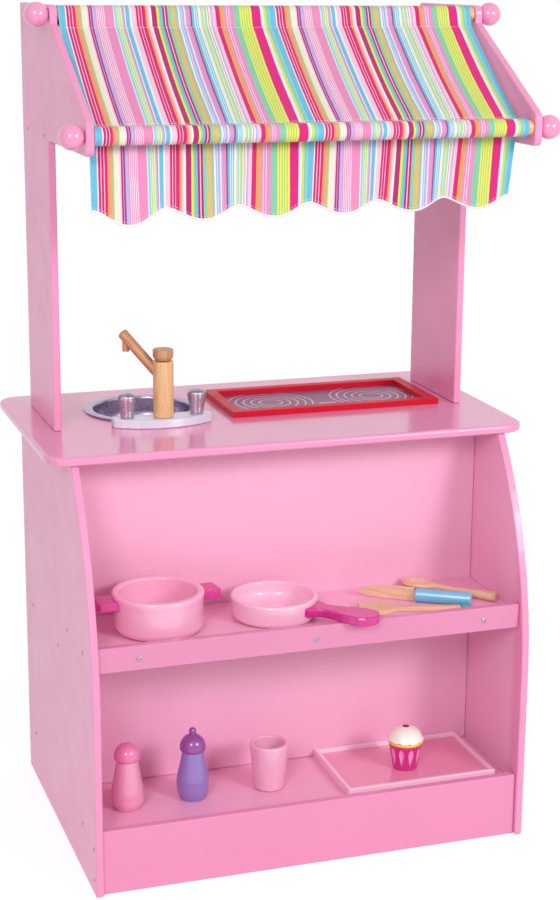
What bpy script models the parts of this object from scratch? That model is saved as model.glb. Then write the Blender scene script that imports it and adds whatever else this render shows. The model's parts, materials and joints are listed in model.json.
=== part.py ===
"""Wooden play kitchen with a shop side: cabinet, worktop, sink, hob and a striped awning on two rods.

The children's shop side faces -Y. X = 0 is the middle of the cabinet, Y = 0 is half way between the
end of the pan's handle, which reaches out furthest, and the back edge of the worktop, and Z = 0 is the
floor.
All sizes are in metres.
"""

import math

import bmesh
import bpy
from mathutils import Matrix, Vector

# Clearance between pieces that touch, and how far a cutter runs past what it cuts
GAP = 0.0003
CUT_PAST = 0.010

# Cabinet
CABINET_WIDTH = 0.600
PANEL_THICKNESS = 0.010
PANEL_DEPTH = 0.435
PANEL_TOP_SETBACK = 0.102
PANEL_CURVE_START = 0.240
PANEL_EDGE_ROUND = 0.0012
WORKTOP_HEIGHT = 0.560
WORKTOP_THICKNESS = 0.012
WORKTOP_SIDE_OVERHANG = 0.030
WORKTOP_FRONT_SETBACK = 0.095
WORKTOP_BACK_OVERHANG = 0.025
WORKTOP_CORNER_RADIUS = 0.030
WORKTOP_EDGE_ROUND = 0.004

# Shelves and the boards that carry them
SHELF_THICKNESS = 0.010
BOTTOM_SHELF_TOP = 0.075
KICK_HEIGHT = 0.088
KICK_THICKNESS = 0.012
KICK_SETBACK = 0.006
PARTITION_SETBACK = 0.175
PARTITION_THICKNESS = 0.010
MIDDLE_SHELF_TOP = 0.3195
RAIL_HEIGHT = 0.033
RAIL_LIP = 0.0127
RAIL_THICKNESS = 0.012
RAIL_SETBACK = 0.0145
REAR_SHELF_TOP = 0.2745
REAR_SHELF_SETBACK = 0.020
BOARD_EDGE_ROUND = 0.0010

# Rail screws
SCREW_SPACING = 0.2368
SCREW_HEAD_RADIUS = 0.0035
SCREW_HEAD_HEIGHT = 0.0016
SCREW_SHANK_RADIUS = 0.0016
SCREW_LENGTH = 0.030
SCREW_HOLE_CLEARANCE = 0.0003

# Upper boards, each a post with a wing that carries the awning
POST_INSET = 0.0075
POST_THICKNESS = 0.010
POST_FRONT_SETBACK = 0.2355
POST_DEPTH = 0.1625
UPPER_TOP = 1.110
UPPER_TOP_FRONT_SETBACK = 0.2045
UPPER_TOP_NOSE_DROP = 0.0225
UPPER_TOP_NOSE_RADIUS = 0.0107
UPPER_CHIN_RADIUS = 0.004
WING_FRONT_SETBACK = 0.0125
WING_BOTTOM = 0.9415
WING_NOSE_TOP = 0.981
WING_NOSE_RADIUS = 0.009
WING_INNER_RADIUS = 0.010
UPPER_BACK_RADIUS = 0.004
TENON_DEPTH = 0.008
TENON_LENGTH = 0.100
TENON_THICKNESS = 0.006
TENON_ROOT = 0.005

# Cross board between the upper boards, behind the valance
CROSS_BOARD_FRONT_SETBACK = 0.245
CROSS_BOARD_DEPTH = 0.140

# Awning rods and the ball knobs on their ends
ROD_RADIUS = 0.0095
ROD_SPIGOT_RADIUS = 0.004
ROD_SPIGOT_DEPTH = 0.010
ROD_TOP_INSET = 0.0115
ROD_FRONT_INSET = 0.0120
ROD_FRONT_HEIGHT = 0.9643
BALL_RADIUS = 0.0155
BALL_FLAT_RADIUS = 0.0060
HOLE_CLEARANCE = 0.0003

# Awning cloth
CLOTH_THICKNESS = 0.0014
CLOTH_ROD_CLEARANCE = 0.0004
CLOTH_LEFT_GAP = 0.0012
CLOTH_RIGHT_GAP = 0.0080
CLOTH_TOP_SEAM_FORWARD = 0.0160
CLOTH_TOP_SEAM_DROP = 0.0140
CLOTH_FRONT_SEAM_BACK = 0.0245
CLOTH_FRONT_SEAM_RISE = 0.0095
CLOTH_SLOPE_SAG = 0.004
CLOTH_SLOPE_SWELL = 0.0015
VALANCE_DROP = 0.0990
SCALLOP_COUNT = 6
SCALLOP_DEPTH = 0.017
FIRST_SCALLOP_SAG = 0.004
VALANCE_FOLD_DEPTH = 0.0050
VALANCE_LEFT_LEAN = -0.010
VALANCE_RIGHT_LEAN = 0.018
VALANCE_WAVE_SHIFT = 0.6
CLOTH_STATIONS_PER_SCALLOP = 4

# Sink
SINK_CENTRE_X = -0.1495
SINK_CENTRE_SETBACK = 0.329
SINK_RIM_RADIUS = 0.081
SINK_RIM_HEIGHT = 0.0025
SINK_BOWL_RADIUS = 0.068
SINK_WALL = 0.002
SINK_DEPTH = 0.042
SINK_FLOOR_RADIUS = 0.042
SINK_LIP_ROUND = 0.0012
SINK_HOLE_CLEARANCE = 0.0006

# Tap ledge, a segment of a disc in front of the sink
LEDGE_THICKNESS = 0.012
LEDGE_RADIUS = 0.1195
LEDGE_CENTRE_X = -0.145
LEDGE_HALF_WIDTH = 0.068
LEDGE_FRONT_SETBACK = 0.2095
LEDGE_SINK_CLEARANCE = 0.0006
LEDGE_EDGE_ROUND = 0.0010

# Tap
TAP_SETBACK = 0.2290
TAP_RADIUS = 0.0138
TAP_COLUMN_HEIGHT = 0.0760
TAP_EDGE_ROUND = 0.0009
TAP_PIN_RADIUS = 0.0040
TAP_PIN_RISE = 0.022
TAP_CAP_GAP = 0.0013
TAP_CAP_HEIGHT = 0.0148
TAP_CAP_CHAMFER = 0.0045
TAP_CAP_SPINDLE_RADIUS = 0.0045
TAP_CAP_SPINDLE_LENGTH = 0.0085
SPOUT_RADIUS = 0.0071
SPOUT_ANGLE = 45.0
SPOUT_TURN = 52.0
SPOUT_REACH = 0.060
SPOUT_HEIGHT = 0.0503
SPOUT_SOCKET_DEPTH = 0.009
SPOUT_END_ROUND = 0.0035
NOZZLE_RADIUS = 0.0048
NOZZLE_DROP = 0.0095
NOZZLE_SOCKET_DEPTH = 0.004
NOZZLE_INSET = 0.0085

# Tap knobs on both sides of the tap
TAP_KNOB_SPACING = 0.0483
TAP_KNOB_SETBACK = 0.2360
TAP_KNOB_BASE_RADIUS = 0.0092
TAP_KNOB_TOP_RADIUS = 0.0128
TAP_KNOB_HEIGHT = 0.0345
TAP_KNOB_FOOT_ROUND = 0.0011
TAP_KNOB_PIN_RADIUS = 0.0030
TAP_KNOB_PIN_RISE = 0.018
PIN_SEAT_DEPTH = 0.008

# Hob
HOB_CENTRE_X = 0.1085
HOB_CENTRE_SETBACK = 0.3125
HOB_WIDTH = 0.304
HOB_DEPTH = 0.146
HOB_FRAME_WIDTH = 0.0155
HOB_FRAME_HEIGHT = 0.0080
HOB_PLATE_THICKNESS = 0.0028
HOB_PLATE_LIP = 0.0030
HOB_FRAME_ROUND = 0.0008

# Pot
POT_X = -0.1889
POT_SETBACK = 0.0995
POT_HEIGHT = 0.0540
POT_RIM_RADIUS = 0.0605
POT_SIDE_RADIUS = 0.0585
POT_BASE_RADIUS = 0.0450
POT_BASE_ROUND = 0.0110
POT_WALL = 0.0100
POT_FLOOR = 0.0080
POT_INSIDE_ROUND = 0.0110
POT_HANDLE_REACH = 0.0235
POT_HANDLE_WIDTH = 0.0350
POT_HANDLE_END_WIDTH = 0.0335
POT_HANDLE_CORNER = 0.0050
POT_HANDLE_SEAT_DEPTH = 0.0045
POT_HANDLE_THICKNESS = 0.0120
POT_HANDLE_DROP = 0.0060
POT_LEFT_HANDLE_TURN = 1.5
POT_RIGHT_HANDLE_TURN = 8.0
POT_HANDLE_ROUND = 0.0012

# Pan
PAN_X = -0.0285
PAN_SETBACK = 0.1030
PAN_HEIGHT = 0.0310
PAN_RIM_RADIUS = 0.0585
PAN_BASE_RADIUS = 0.0460
PAN_BASE_ROUND = 0.0080
PAN_WALL = 0.0075
PAN_FLOOR = 0.0070
PAN_SIDE_TAPER = 0.0010
PAN_WELL_ROUND = 0.0160
PAN_HANDLE_TURN = -44.5
PAN_HANDLE_OVERHANG = 0.0095
PAN_HANDLE_SEAT_DEPTH = 0.0055
PAN_HANDLE_SEAT_WIDTH = 0.0410
PAN_HANDLE_NECK_WIDTH = 0.0235
PAN_HANDLE_END_WIDTH = 0.0430
PAN_HANDLE_FLARE = 0.0235
PAN_HANDLE_SWELL = 0.0670
PAN_HANDLE_THICKNESS = 0.0120
PAN_HANDLE_ROUND = 0.0022

# Knife
KNIFE_START_X = 0.1740
KNIFE_START_SETBACK = 0.1010
KNIFE_TURN = -32.0
KNIFE_HANDLE_LENGTH = 0.0775
KNIFE_HANDLE_RADIUS = 0.0092
KNIFE_BLADE_LENGTH = 0.0815
KNIFE_BLADE_WIDTH = 0.0190
KNIFE_BLADE_RISE = 0.0008
KNIFE_BLADE_THICKNESS = 0.0035
KNIFE_TENON_LENGTH = 0.015
KNIFE_SHOULDER_GAP = 0.0012
KNIFE_HANDLE_ROUND = 0.0018

# Spoon
SPOON_X = 0.1985
SPOON_SETBACK = 0.1515
SPOON_TURN = -47.0
SPOON_BOWL_LENGTH = 0.0470
SPOON_BOWL_WIDTH = 0.0310
SPOON_BOWL_HEIGHT = 0.0110
SPOON_BOWL_HOLLOW = 0.0060
SPOON_LENGTH = 0.1180
SPOON_NECK_RADIUS = 0.0034
SPOON_HANDLE_RADIUS = 0.0068
SPOON_NECK_LENGTH = 0.030
SPOON_TIP_WIDTH = 0.006
SPOON_SIDES = 12

# Turner
TURNER_X = 0.0860
TURNER_SETBACK = 0.0860
TURNER_TURN = -15.0
TURNER_HEAD_LENGTH = 0.0400
TURNER_HEAD_WIDTH = 0.0440
TURNER_THICKNESS = 0.0060
TURNER_CORNER_RADIUS = 0.0040
TURNER_EDGE_ROUND = 0.0008
TURNER_SLOT_START = 0.0070
TURNER_SLOT_WIDTH = 0.0035
TURNER_SLOT_LENGTH = 0.0240
TURNER_SLOT_COUNT = 3
TURNER_LENGTH = 0.1380
TURNER_NECK_WIDTH = 0.0100
TURNER_TIP_LENGTH = 0.0120
TURNER_TIP_RADIUS = 0.0040
TURNER_TIP_WALL_ROUND = 0.0012
TURNER_PEG_RADIUS = 0.0012
TURNER_PEG_LENGTH = 0.0050

# Salt and pepper shakers
SALT_X = -0.2343
SALT_SETBACK = 0.0960
SALT_BELLY_HEIGHT = 0.0150
PEPPER_X = -0.1433
PEPPER_SETBACK = 0.0990
PEPPER_BELLY_HEIGHT = 0.0220
SHAKER_BODY_HEIGHT = 0.0672
SHAKER_BASE_RADIUS = 0.0177
SHAKER_BELLY_RADIUS = 0.0219
SHAKER_NECK_RADIUS = 0.0143
SHAKER_CAP_RADIUS = 0.0176
SHAKER_CAP_HEIGHT = 0.0238
SHAKER_PEG_RADIUS = 0.0060
SHAKER_PEG_LENGTH = 0.0080
SALT_HOLE_RADIUS = 0.0009
SALT_HOLE_DEPTH = 0.0020
SALT_HOLE_RING_RADIUS = 0.0075
SALT_HOLE_COUNT = 6
PEPPER_BUD_RADIUS = 0.0050
PEPPER_BUD_NECK_RADIUS = 0.0042
PEPPER_BUD_NECK_HEIGHT = 0.0008

# Cup
CUP_X = -0.0354
CUP_SETBACK = 0.0990
CUP_HEIGHT = 0.0655
CUP_RIM_RADIUS = 0.0265
CUP_BASE_RADIUS = 0.0207
CUP_WALL = 0.0060
CUP_FLOOR = 0.0070
CUP_RIM_ROUND = 0.0024
CUP_FOOT_ROUND = 0.0035

# Tray
TRAY_CENTRE_X = 0.16425
TRAY_CENTRE_SETBACK = 0.1040
TRAY_WIDTH = 0.2165
TRAY_DEPTH = 0.141
TRAY_FRAME_WIDTH = 0.0060
TRAY_FRAME_HEIGHT = 0.0110
TRAY_REBATE_WIDTH = 0.0030
TRAY_REBATE_HEIGHT = 0.0020
TRAY_BASE_THICKNESS = 0.0030
TRAY_FRAME_ROUND = 0.0014

# Cupcake
CAKE_X = 0.1615
CAKE_SETBACK = 0.0920
CAKE_CASE_HEIGHT = 0.0370
CAKE_EDGE_ROUND = 0.0009
CAKE_CASE_BASE_RADIUS = 0.0168
CAKE_CASE_TOP_RADIUS = 0.0236
CAKE_FLUTE_COUNT = 10
CAKE_FLUTE_RADIUS = 0.0016
CAKE_FLUTE_INSET = 0.0004
CAKE_BAND_RADIUS = 0.0246
CAKE_BAND_HEIGHT = 0.0050
CAKE_DOME_RADIUS = 0.0240
CAKE_DOME_HEIGHT = 0.0185
CAKE_PEG_RADIUS = 0.0050
CAKE_PEG_LENGTH = 0.0060
CHERRY_RADIUS = 0.0048
CHERRY_HEIGHT = 0.0030
CHERRY_SINK = 0.0020
CHERRY_ROUND = 0.0006

# Faceting
LARGE_STEPS = 32
ROUND_STEPS = 24
SMALL_STEPS = 20
PIN_STEPS = 14
CORNER_STEPS = 5

# Values that follow from the sizes above
CENTRE_SETBACK = (PANEL_DEPTH + WORKTOP_BACK_OVERHANG - PAN_HANDLE_OVERHANG) / 2.0
PANEL_OUTER_X = CABINET_WIDTH / 2.0
PANEL_INNER_X = PANEL_OUTER_X - PANEL_THICKNESS
SHELF_HALF_WIDTH = PANEL_INNER_X - GAP
WORKTOP_UNDERSIDE = WORKTOP_HEIGHT - WORKTOP_THICKNESS
PANEL_HEIGHT = WORKTOP_UNDERSIDE - GAP
POST_OUTER_X = PANEL_OUTER_X - POST_INSET
POST_INNER_X = POST_OUTER_X - POST_THICKNESS
ON_WORKTOP = WORKTOP_HEIGHT + GAP
LEDGE_TOP = ON_WORKTOP + LEDGE_THICKNESS
ON_LEDGE = LEDGE_TOP + GAP
ON_MIDDLE_SHELF = MIDDLE_SHELF_TOP + GAP
ON_BOTTOM_SHELF = BOTTOM_SHELF_TOP + GAP
RAIL_TOP = MIDDLE_SHELF_TOP + RAIL_LIP
HOB_PLATE_HALF_WIDTH = HOB_WIDTH / 2.0 - HOB_FRAME_WIDTH + HOB_PLATE_LIP
HOB_PLATE_HALF_DEPTH = HOB_DEPTH / 2.0 - HOB_FRAME_WIDTH + HOB_PLATE_LIP


def at(setback):
    """World Y of a point that lies this far behind the front edges of the side panels."""
    return setback - CENTRE_SETBACK


ROD_TOP_PLACE = (at(UPPER_TOP_FRONT_SETBACK + ROD_TOP_INSET), UPPER_TOP - ROD_TOP_INSET)
ROD_FRONT_PLACE = (at(WING_FRONT_SETBACK + ROD_FRONT_INSET), ROD_FRONT_HEIGHT)
TAP_PLACE = (LEDGE_CENTRE_X, at(TAP_SETBACK))


def clear_scene():
    for old in list(bpy.data.objects):
        bpy.data.objects.remove(old, do_unlink=True)


def new_collection(name):
    group = bpy.data.collections.new(name)
    bpy.context.scene.collection.children.link(group)
    return group


clear_scene()
KITCHEN = new_collection("wooden_play_kitchen")
CUTTERS = new_collection("cutters")


def paint(name, colour, roughness, metallic=0.0):
    made = bpy.data.materials.new(name)
    made.use_nodes = True
    shader = made.node_tree.nodes["Principled BSDF"]
    shader.inputs["Base Color"].default_value = (*colour, 1.0)
    shader.inputs["Roughness"].default_value = roughness
    shader.inputs["Metallic"].default_value = metallic
    made.diffuse_color = (*colour, 1.0)
    return made


PINK = (0.80, 0.36, 0.56)
LIGHT_PINK = (0.90, 0.50, 0.66)
MAGENTA = (0.73, 0.06, 0.30)
BEECH = (0.66, 0.40, 0.19)
SILVER = (0.62, 0.60, 0.65)


def add_object(name, mesh, colour, roughness=0.35, metallic=0.0, smooth=40.0):
    """One sub-part with its own material, linked to the kitchen's collection."""
    made = bpy.data.objects.new(name, mesh)
    KITCHEN.objects.link(made)
    mesh.materials.append(paint(name + "_finish", colour, roughness, metallic))
    if smooth:
        mesh.shade_smooth()
        mesh.set_sharp_from_angle(angle=math.radians(smooth))
    return made


def mesh_from(work, name):
    mesh = bpy.data.meshes.new(name)
    bmesh.ops.recalc_face_normals(work, faces=work.faces)
    work.to_mesh(mesh)
    work.free()
    return mesh


def box_mesh(name, low, high):
    work = bmesh.new()
    bmesh.ops.create_cube(work, size=1.0)
    size = Vector(high) - Vector(low)
    middle = (Vector(high) + Vector(low)) / 2.0
    bmesh.ops.scale(work, vec=size, verts=work.verts)
    bmesh.ops.translate(work, vec=middle, verts=work.verts)
    return mesh_from(work, name)


def round_edges(target, width, segments=1, angle=35.0):
    edge = target.modifiers.new("Rounded edges", "BEVEL")
    edge.width = width
    edge.segments = segments
    edge.limit_method = "ANGLE"
    edge.angle_limit = math.radians(angle)
    return edge


def board(name, low, high, colour, edge_round=BOARD_EDGE_ROUND):
    made = add_object(name, box_mesh(name, low, high), colour)
    round_edges(made, edge_round)
    return made


def carry(child, parent):
    """Parents a piece to the piece that it moves with, leaving it where it is."""
    child.parent = parent
    child.matrix_parent_inverse = parent.matrix_basis.inverted()


def joint_axis(name, place):
    """Empty that stands on a joint's axis."""
    made = bpy.data.objects.new(name, None)
    KITCHEN.objects.link(made)
    made.empty_display_size = 0.02
    made.location = place
    return made


def cutter(name, mesh):
    tool = bpy.data.objects.new(name, mesh)
    CUTTERS.objects.link(tool)
    tool.hide_render = True
    tool.display_type = "WIRE"
    return tool


def cylinder_mesh(name, radius, start, end, steps=PIN_STEPS, end_radius=None):
    """Closed cylinder, or a cone where end_radius is given, between two points."""
    work = bmesh.new()
    start = Vector(start)
    end = Vector(end)
    axis = end - start
    top = radius if end_radius is None else end_radius
    bmesh.ops.create_cone(
        work, cap_ends=True, segments=steps, radius1=radius, radius2=top, depth=axis.length
    )
    turn = Vector((0.0, 0.0, 1.0)).rotation_difference(axis.normalized()).to_matrix().to_4x4()
    bmesh.ops.transform(work, matrix=Matrix.Translation((start + end) / 2.0) @ turn, verts=work.verts)
    return mesh_from(work, name)


def cut(target, tool):
    step = target.modifiers.new("Cut " + tool.name, "BOOLEAN")
    step.operation = "DIFFERENCE"
    step.solver = "EXACT"
    step.object = tool
    return step


def cut_box(target, name, low, high):
    return cut(target, cutter(name, box_mesh(name, low, high)))


def cut_round(target, name, radius, start, end, steps=PIN_STEPS):
    return cut(target, cutter(name, cylinder_mesh(name, radius, start, end, steps)))


def turned(name, profile, place, colour, roughness=0.35, metallic=0.0, steps=ROUND_STEPS, turn=None):
    """Solid turned from a profile of (radius, height) points that runs down its outer side."""
    mesh = bpy.data.meshes.new(name)
    points = [(radius, 0.0, height) for radius, height in profile]
    mesh.from_pydata(points, [(i, i + 1) for i in range(len(points) - 1)], [])
    made = add_object(name, mesh, colour, roughness, metallic, smooth=None)
    made.location = place
    if turn is not None:
        made.rotation_euler = turn
    spin = made.modifiers.new("Turned", "SCREW")
    spin.steps = steps
    spin.render_steps = steps
    spin.use_merge_vertices = True
    spin.merge_threshold = 0.00001
    spin.use_smooth_shade = True
    return made


def arc(centre, radius, start, end, steps):
    """Points on an arc in a plane, with angles in degrees, both ends included."""
    turns = [math.radians(start + (end - start) * i / steps) for i in range(steps + 1)]
    return [(centre[0] + radius * math.cos(a), centre[1] + radius * math.sin(a)) for a in turns]


def rounded_corner(before, corner, after, radius, steps=CORNER_STEPS):
    """Arc that rounds one corner of an outline, given the points before and after it."""
    corner = Vector(corner)
    back = (Vector(before) - corner).normalized()
    ahead = (Vector(after) - corner).normalized()
    half = back.angle(ahead) / 2.0
    reach = radius / math.tan(half)
    centre = corner + (back + ahead).normalized() * (radius / math.sin(half))
    first = corner + back * reach - centre
    last = corner + ahead * reach - centre
    sweep = first.angle_signed(last)
    return [
        tuple(centre + Matrix.Rotation(-sweep * i / steps, 2) @ first) for i in range(steps + 1)
    ]


def rounded_outline(corners):
    """Outline with each corner (x, y, radius) rounded, or kept sharp where the radius is 0."""
    count = len(corners)
    points = []
    for i, (x, y, radius) in enumerate(corners):
        if radius <= 0.0:
            points.append((x, y))
            continue
        before = corners[i - 1][:2]
        after = corners[(i + 1) % count][:2]
        points.extend(rounded_corner(before, (x, y), after, radius))
    return points


def plate_mesh(name, outline, low, high, frame):
    """Flat outline given thickness from low to high; frame maps (a, b, height) to the world."""
    curve = bpy.data.curves.new(name + "_outline", "CURVE")
    curve.dimensions = "2D"
    curve.fill_mode = "BOTH"
    curve.extrude = (high - low) / 2.0
    line = curve.splines.new("POLY")
    line.points.add(len(outline) - 1)
    for point, (a, b) in zip(line.points, outline):
        point.co = (a, b, 0.0, 1.0)
    line.use_cyclic_u = True
    holder = bpy.data.objects.new(name + "_outline", curve)
    KITCHEN.objects.link(holder)
    lifted = bpy.data.meshes.new_from_object(
        holder.evaluated_get(bpy.context.evaluated_depsgraph_get())
    )
    bpy.data.objects.remove(holder, do_unlink=True)
    work = bmesh.new()
    work.from_mesh(lifted)
    bpy.data.meshes.remove(lifted)
    bmesh.ops.remove_doubles(work, verts=work.verts, dist=0.00001)
    bmesh.ops.dissolve_limit(work, angle_limit=math.radians(0.5), verts=work.verts, edges=work.edges)
    bmesh.ops.translate(work, vec=(0.0, 0.0, (high + low) / 2.0), verts=work.verts)
    bmesh.ops.transform(work, matrix=frame, verts=work.verts)
    return mesh_from(work, name)


# Frames for flat outlines: one drawn in Y and Z, with its thickness along X, and one drawn in X and Y
SIDE_ON = Matrix(((0, 0, 1, 0), (1, 0, 0, 0), (0, 1, 0, 0), (0, 0, 0, 1)))
FLAT = Matrix.Identity(4)


def flat_at(x, y, turn):
    return Matrix.Translation((x, y, 0.0)) @ Matrix.Rotation(math.radians(turn), 4, "Z")


def lofted_mesh(name, sections):
    """Closed solid through sections of equal point counts, with flat ends."""
    work = bmesh.new()
    rings = [[work.verts.new(point) for point in section] for section in sections]
    count = len(rings[0])
    for near, far in zip(rings, rings[1:]):
        for i in range(count):
            j = (i + 1) % count
            work.faces.new((near[i], near[j], far[j], far[i]))
    work.faces.new(list(reversed(rings[0])))
    work.faces.new(rings[-1])
    return mesh_from(work, name)


def mitred_frame_mesh(name, centre, half_width, half_depth, profile):
    """Rectangular frame with mitred corners; the profile is (distance in from the outside, height)."""
    work = bmesh.new()
    rings = []
    for inward, height in profile:
        a = half_width - inward
        b = half_depth - inward
        corners = ((-a, -b), (a, -b), (a, b), (-a, b))
        rings.append([work.verts.new((centre[0] + x, centre[1] + y, height)) for x, y in corners])
    for k, near in enumerate(rings):
        far = rings[(k + 1) % len(rings)]
        for i in range(4):
            j = (i + 1) % 4
            work.faces.new((near[i], near[j], far[j], far[i]))
    return mesh_from(work, name)


# Cabinet


def side_panel(name, side):
    """Side panel whose front edge runs straight up, then curves back under the worktop."""
    rise = PANEL_HEIGHT - PANEL_CURVE_START
    radius = (PANEL_TOP_SETBACK**2 + rise**2) / (2.0 * PANEL_TOP_SETBACK)
    sweep = math.degrees(math.asin(rise / radius))
    curve = arc((at(radius), PANEL_CURVE_START), radius, 180.0, 180.0 - sweep, 12)
    outline = [(at(PANEL_DEPTH), 0.0), (at(0.0), 0.0), *curve, (at(PANEL_DEPTH), PANEL_HEIGHT)]
    ends = sorted((side * PANEL_INNER_X, side * PANEL_OUTER_X))
    mesh = plate_mesh(name, outline, ends[0], ends[1], SIDE_ON)
    made = add_object(name, mesh, PINK)
    round_edges(made, PANEL_EDGE_ROUND)
    return made


def shelf(name, front, back, top):
    low = (-SHELF_HALF_WIDTH, at(front), top - SHELF_THICKNESS)
    high = (SHELF_HALF_WIDTH, at(back), top)
    return board(name, low, high, PINK)


def cabinet():
    side_panel("side_panel_left", -1)
    side_panel("side_panel_right", 1)

    kick_back = KICK_SETBACK + KICK_THICKNESS
    board(
        "kick_board",
        (-SHELF_HALF_WIDTH, at(KICK_SETBACK), 0.0),
        (SHELF_HALF_WIDTH, at(kick_back), KICK_HEIGHT),
        PINK,
    )
    shelf("bottom_shelf", kick_back + GAP, PANEL_DEPTH - GAP, BOTTOM_SHELF_TOP)

    partition_back = PARTITION_SETBACK + PARTITION_THICKNESS
    board(
        "centre_partition",
        (-SHELF_HALF_WIDTH, at(PARTITION_SETBACK), BOTTOM_SHELF_TOP + GAP),
        (SHELF_HALF_WIDTH, at(partition_back), WORKTOP_UNDERSIDE - GAP),
        PINK,
    )
    rail_back = RAIL_SETBACK + RAIL_THICKNESS
    middle = shelf("middle_shelf", rail_back + GAP, PARTITION_SETBACK - GAP, MIDDLE_SHELF_TOP)
    rail = board(
        "shelf_rail",
        (-SHELF_HALF_WIDTH, at(RAIL_SETBACK), RAIL_TOP - RAIL_HEIGHT),
        (SHELF_HALF_WIDTH, at(rail_back), RAIL_TOP),
        PINK,
        PANEL_EDGE_ROUND,
    )
    shelf("rear_shelf", partition_back + GAP, PANEL_DEPTH - REAR_SHELF_SETBACK, REAR_SHELF_TOP)
    rail_screws(rail, middle)


def rail_screws(rail, middle):
    """Three screws through the rail into the front edge of the middle shelf."""
    height = MIDDLE_SHELF_TOP - SHELF_THICKNESS / 2.0
    shank = SCREW_SHANK_RADIUS
    dome = SCREW_HEAD_HEIGHT
    head = SCREW_HEAD_RADIUS
    profile = [
        (0.0, dome),
        (head * 0.55, dome * 0.86),
        (head * 0.88, dome * 0.45),
        (head, GAP),
        (shank, GAP),
        (shank, -SCREW_LENGTH + 2.0 * shank),
        (0.0, -SCREW_LENGTH),
    ]
    hole = shank + SCREW_HOLE_CLEARANCE
    for word, x in (("left", -SCREW_SPACING), ("middle", 0.0), ("right", SCREW_SPACING)):
        face = at(RAIL_SETBACK)
        turned(
            "rail_screw_" + word,
            profile,
            (x, face, height),
            SILVER,
            0.25,
            1.0,
            PIN_STEPS,
            (math.radians(90.0), 0.0, 0.0),
        )
        start = (x, face - GAP, height)
        end = (x, face + SCREW_LENGTH + 2.0 * GAP, height)
        tool = cutter("screw_hole_" + word, cylinder_mesh("screw_hole", hole, start, end, 12))
        cut(rail, tool)
        cut(middle, tool)


# Worktop with the openings for what it carries


def worktop():
    half = PANEL_OUTER_X + WORKTOP_SIDE_OVERHANG
    front = at(WORKTOP_FRONT_SETBACK)
    back = at(PANEL_DEPTH + WORKTOP_BACK_OVERHANG)
    r = WORKTOP_CORNER_RADIUS
    outline = rounded_outline([(-half, front, r), (half, front, r), (half, back, r), (-half, back, r)])
    mesh = plate_mesh("worktop", outline, WORKTOP_UNDERSIDE, WORKTOP_HEIGHT, FLAT)
    made = add_object("worktop", mesh, PINK, 0.22)
    round_edges(made, WORKTOP_EDGE_ROUND, 3, 60.0)

    over = WORKTOP_HEIGHT + CUT_PAST
    under = WORKTOP_UNDERSIDE - CUT_PAST
    sink = (SINK_CENTRE_X, at(SINK_CENTRE_SETBACK))
    hole = SINK_BOWL_RADIUS + SINK_WALL + SINK_HOLE_CLEARANCE
    cut_round(made, "sink_hole", hole, (*sink, under), (*sink, over), LARGE_STEPS)

    half_width = HOB_PLATE_HALF_WIDTH + GAP
    half_depth = HOB_PLATE_HALF_DEPTH + GAP
    pocket = WORKTOP_HEIGHT - HOB_PLATE_THICKNESS - GAP
    hob = (HOB_CENTRE_X, at(HOB_CENTRE_SETBACK))
    cut_box(
        made,
        "hob_pocket",
        (hob[0] - half_width, hob[1] - half_depth, pocket),
        (hob[0] + half_width, hob[1] + half_depth, over),
    )

    for word, side in (("left", -1), ("right", 1)):
        low, high = tenon_box(side, GAP)
        cut_box(made, "mortise_" + word, low, (high[0], high[1], over))

    seat = WORKTOP_HEIGHT - PIN_SEAT_DEPTH - GAP
    for word, x, y, radius in pin_places():
        cut_round(made, word + "_seat", radius + HOLE_CLEARANCE, (x, y, seat), (x, y, over))
    return made


def pin_places():
    """Name, place and radius of the three pins that stand in the worktop."""
    knob_y = at(TAP_KNOB_SETBACK)
    return (
        ("tap_pin", TAP_PLACE[0], TAP_PLACE[1], TAP_PIN_RADIUS),
        ("knob_pin_left", TAP_PLACE[0] - TAP_KNOB_SPACING, knob_y, TAP_KNOB_PIN_RADIUS),
        ("knob_pin_right", TAP_PLACE[0] + TAP_KNOB_SPACING, knob_y, TAP_KNOB_PIN_RADIUS),
    )


def tenon_box(side, clearance):
    """Corners of the tenon under an upper board, grown by the clearance to give its mortise."""
    middle_x = side * (POST_INNER_X + POST_OUTER_X) / 2.0
    middle_y = at(POST_FRONT_SETBACK + POST_DEPTH / 2.0)
    half_x = TENON_THICKNESS / 2.0 + clearance
    half_y = TENON_LENGTH / 2.0 + clearance
    low = (middle_x - half_x, middle_y - half_y, WORKTOP_HEIGHT - TENON_DEPTH - clearance)
    high = (middle_x + half_x, middle_y + half_y, ON_WORKTOP + TENON_ROOT)
    return low, high


# Upper boards, cross board, rods and knobs


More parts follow.
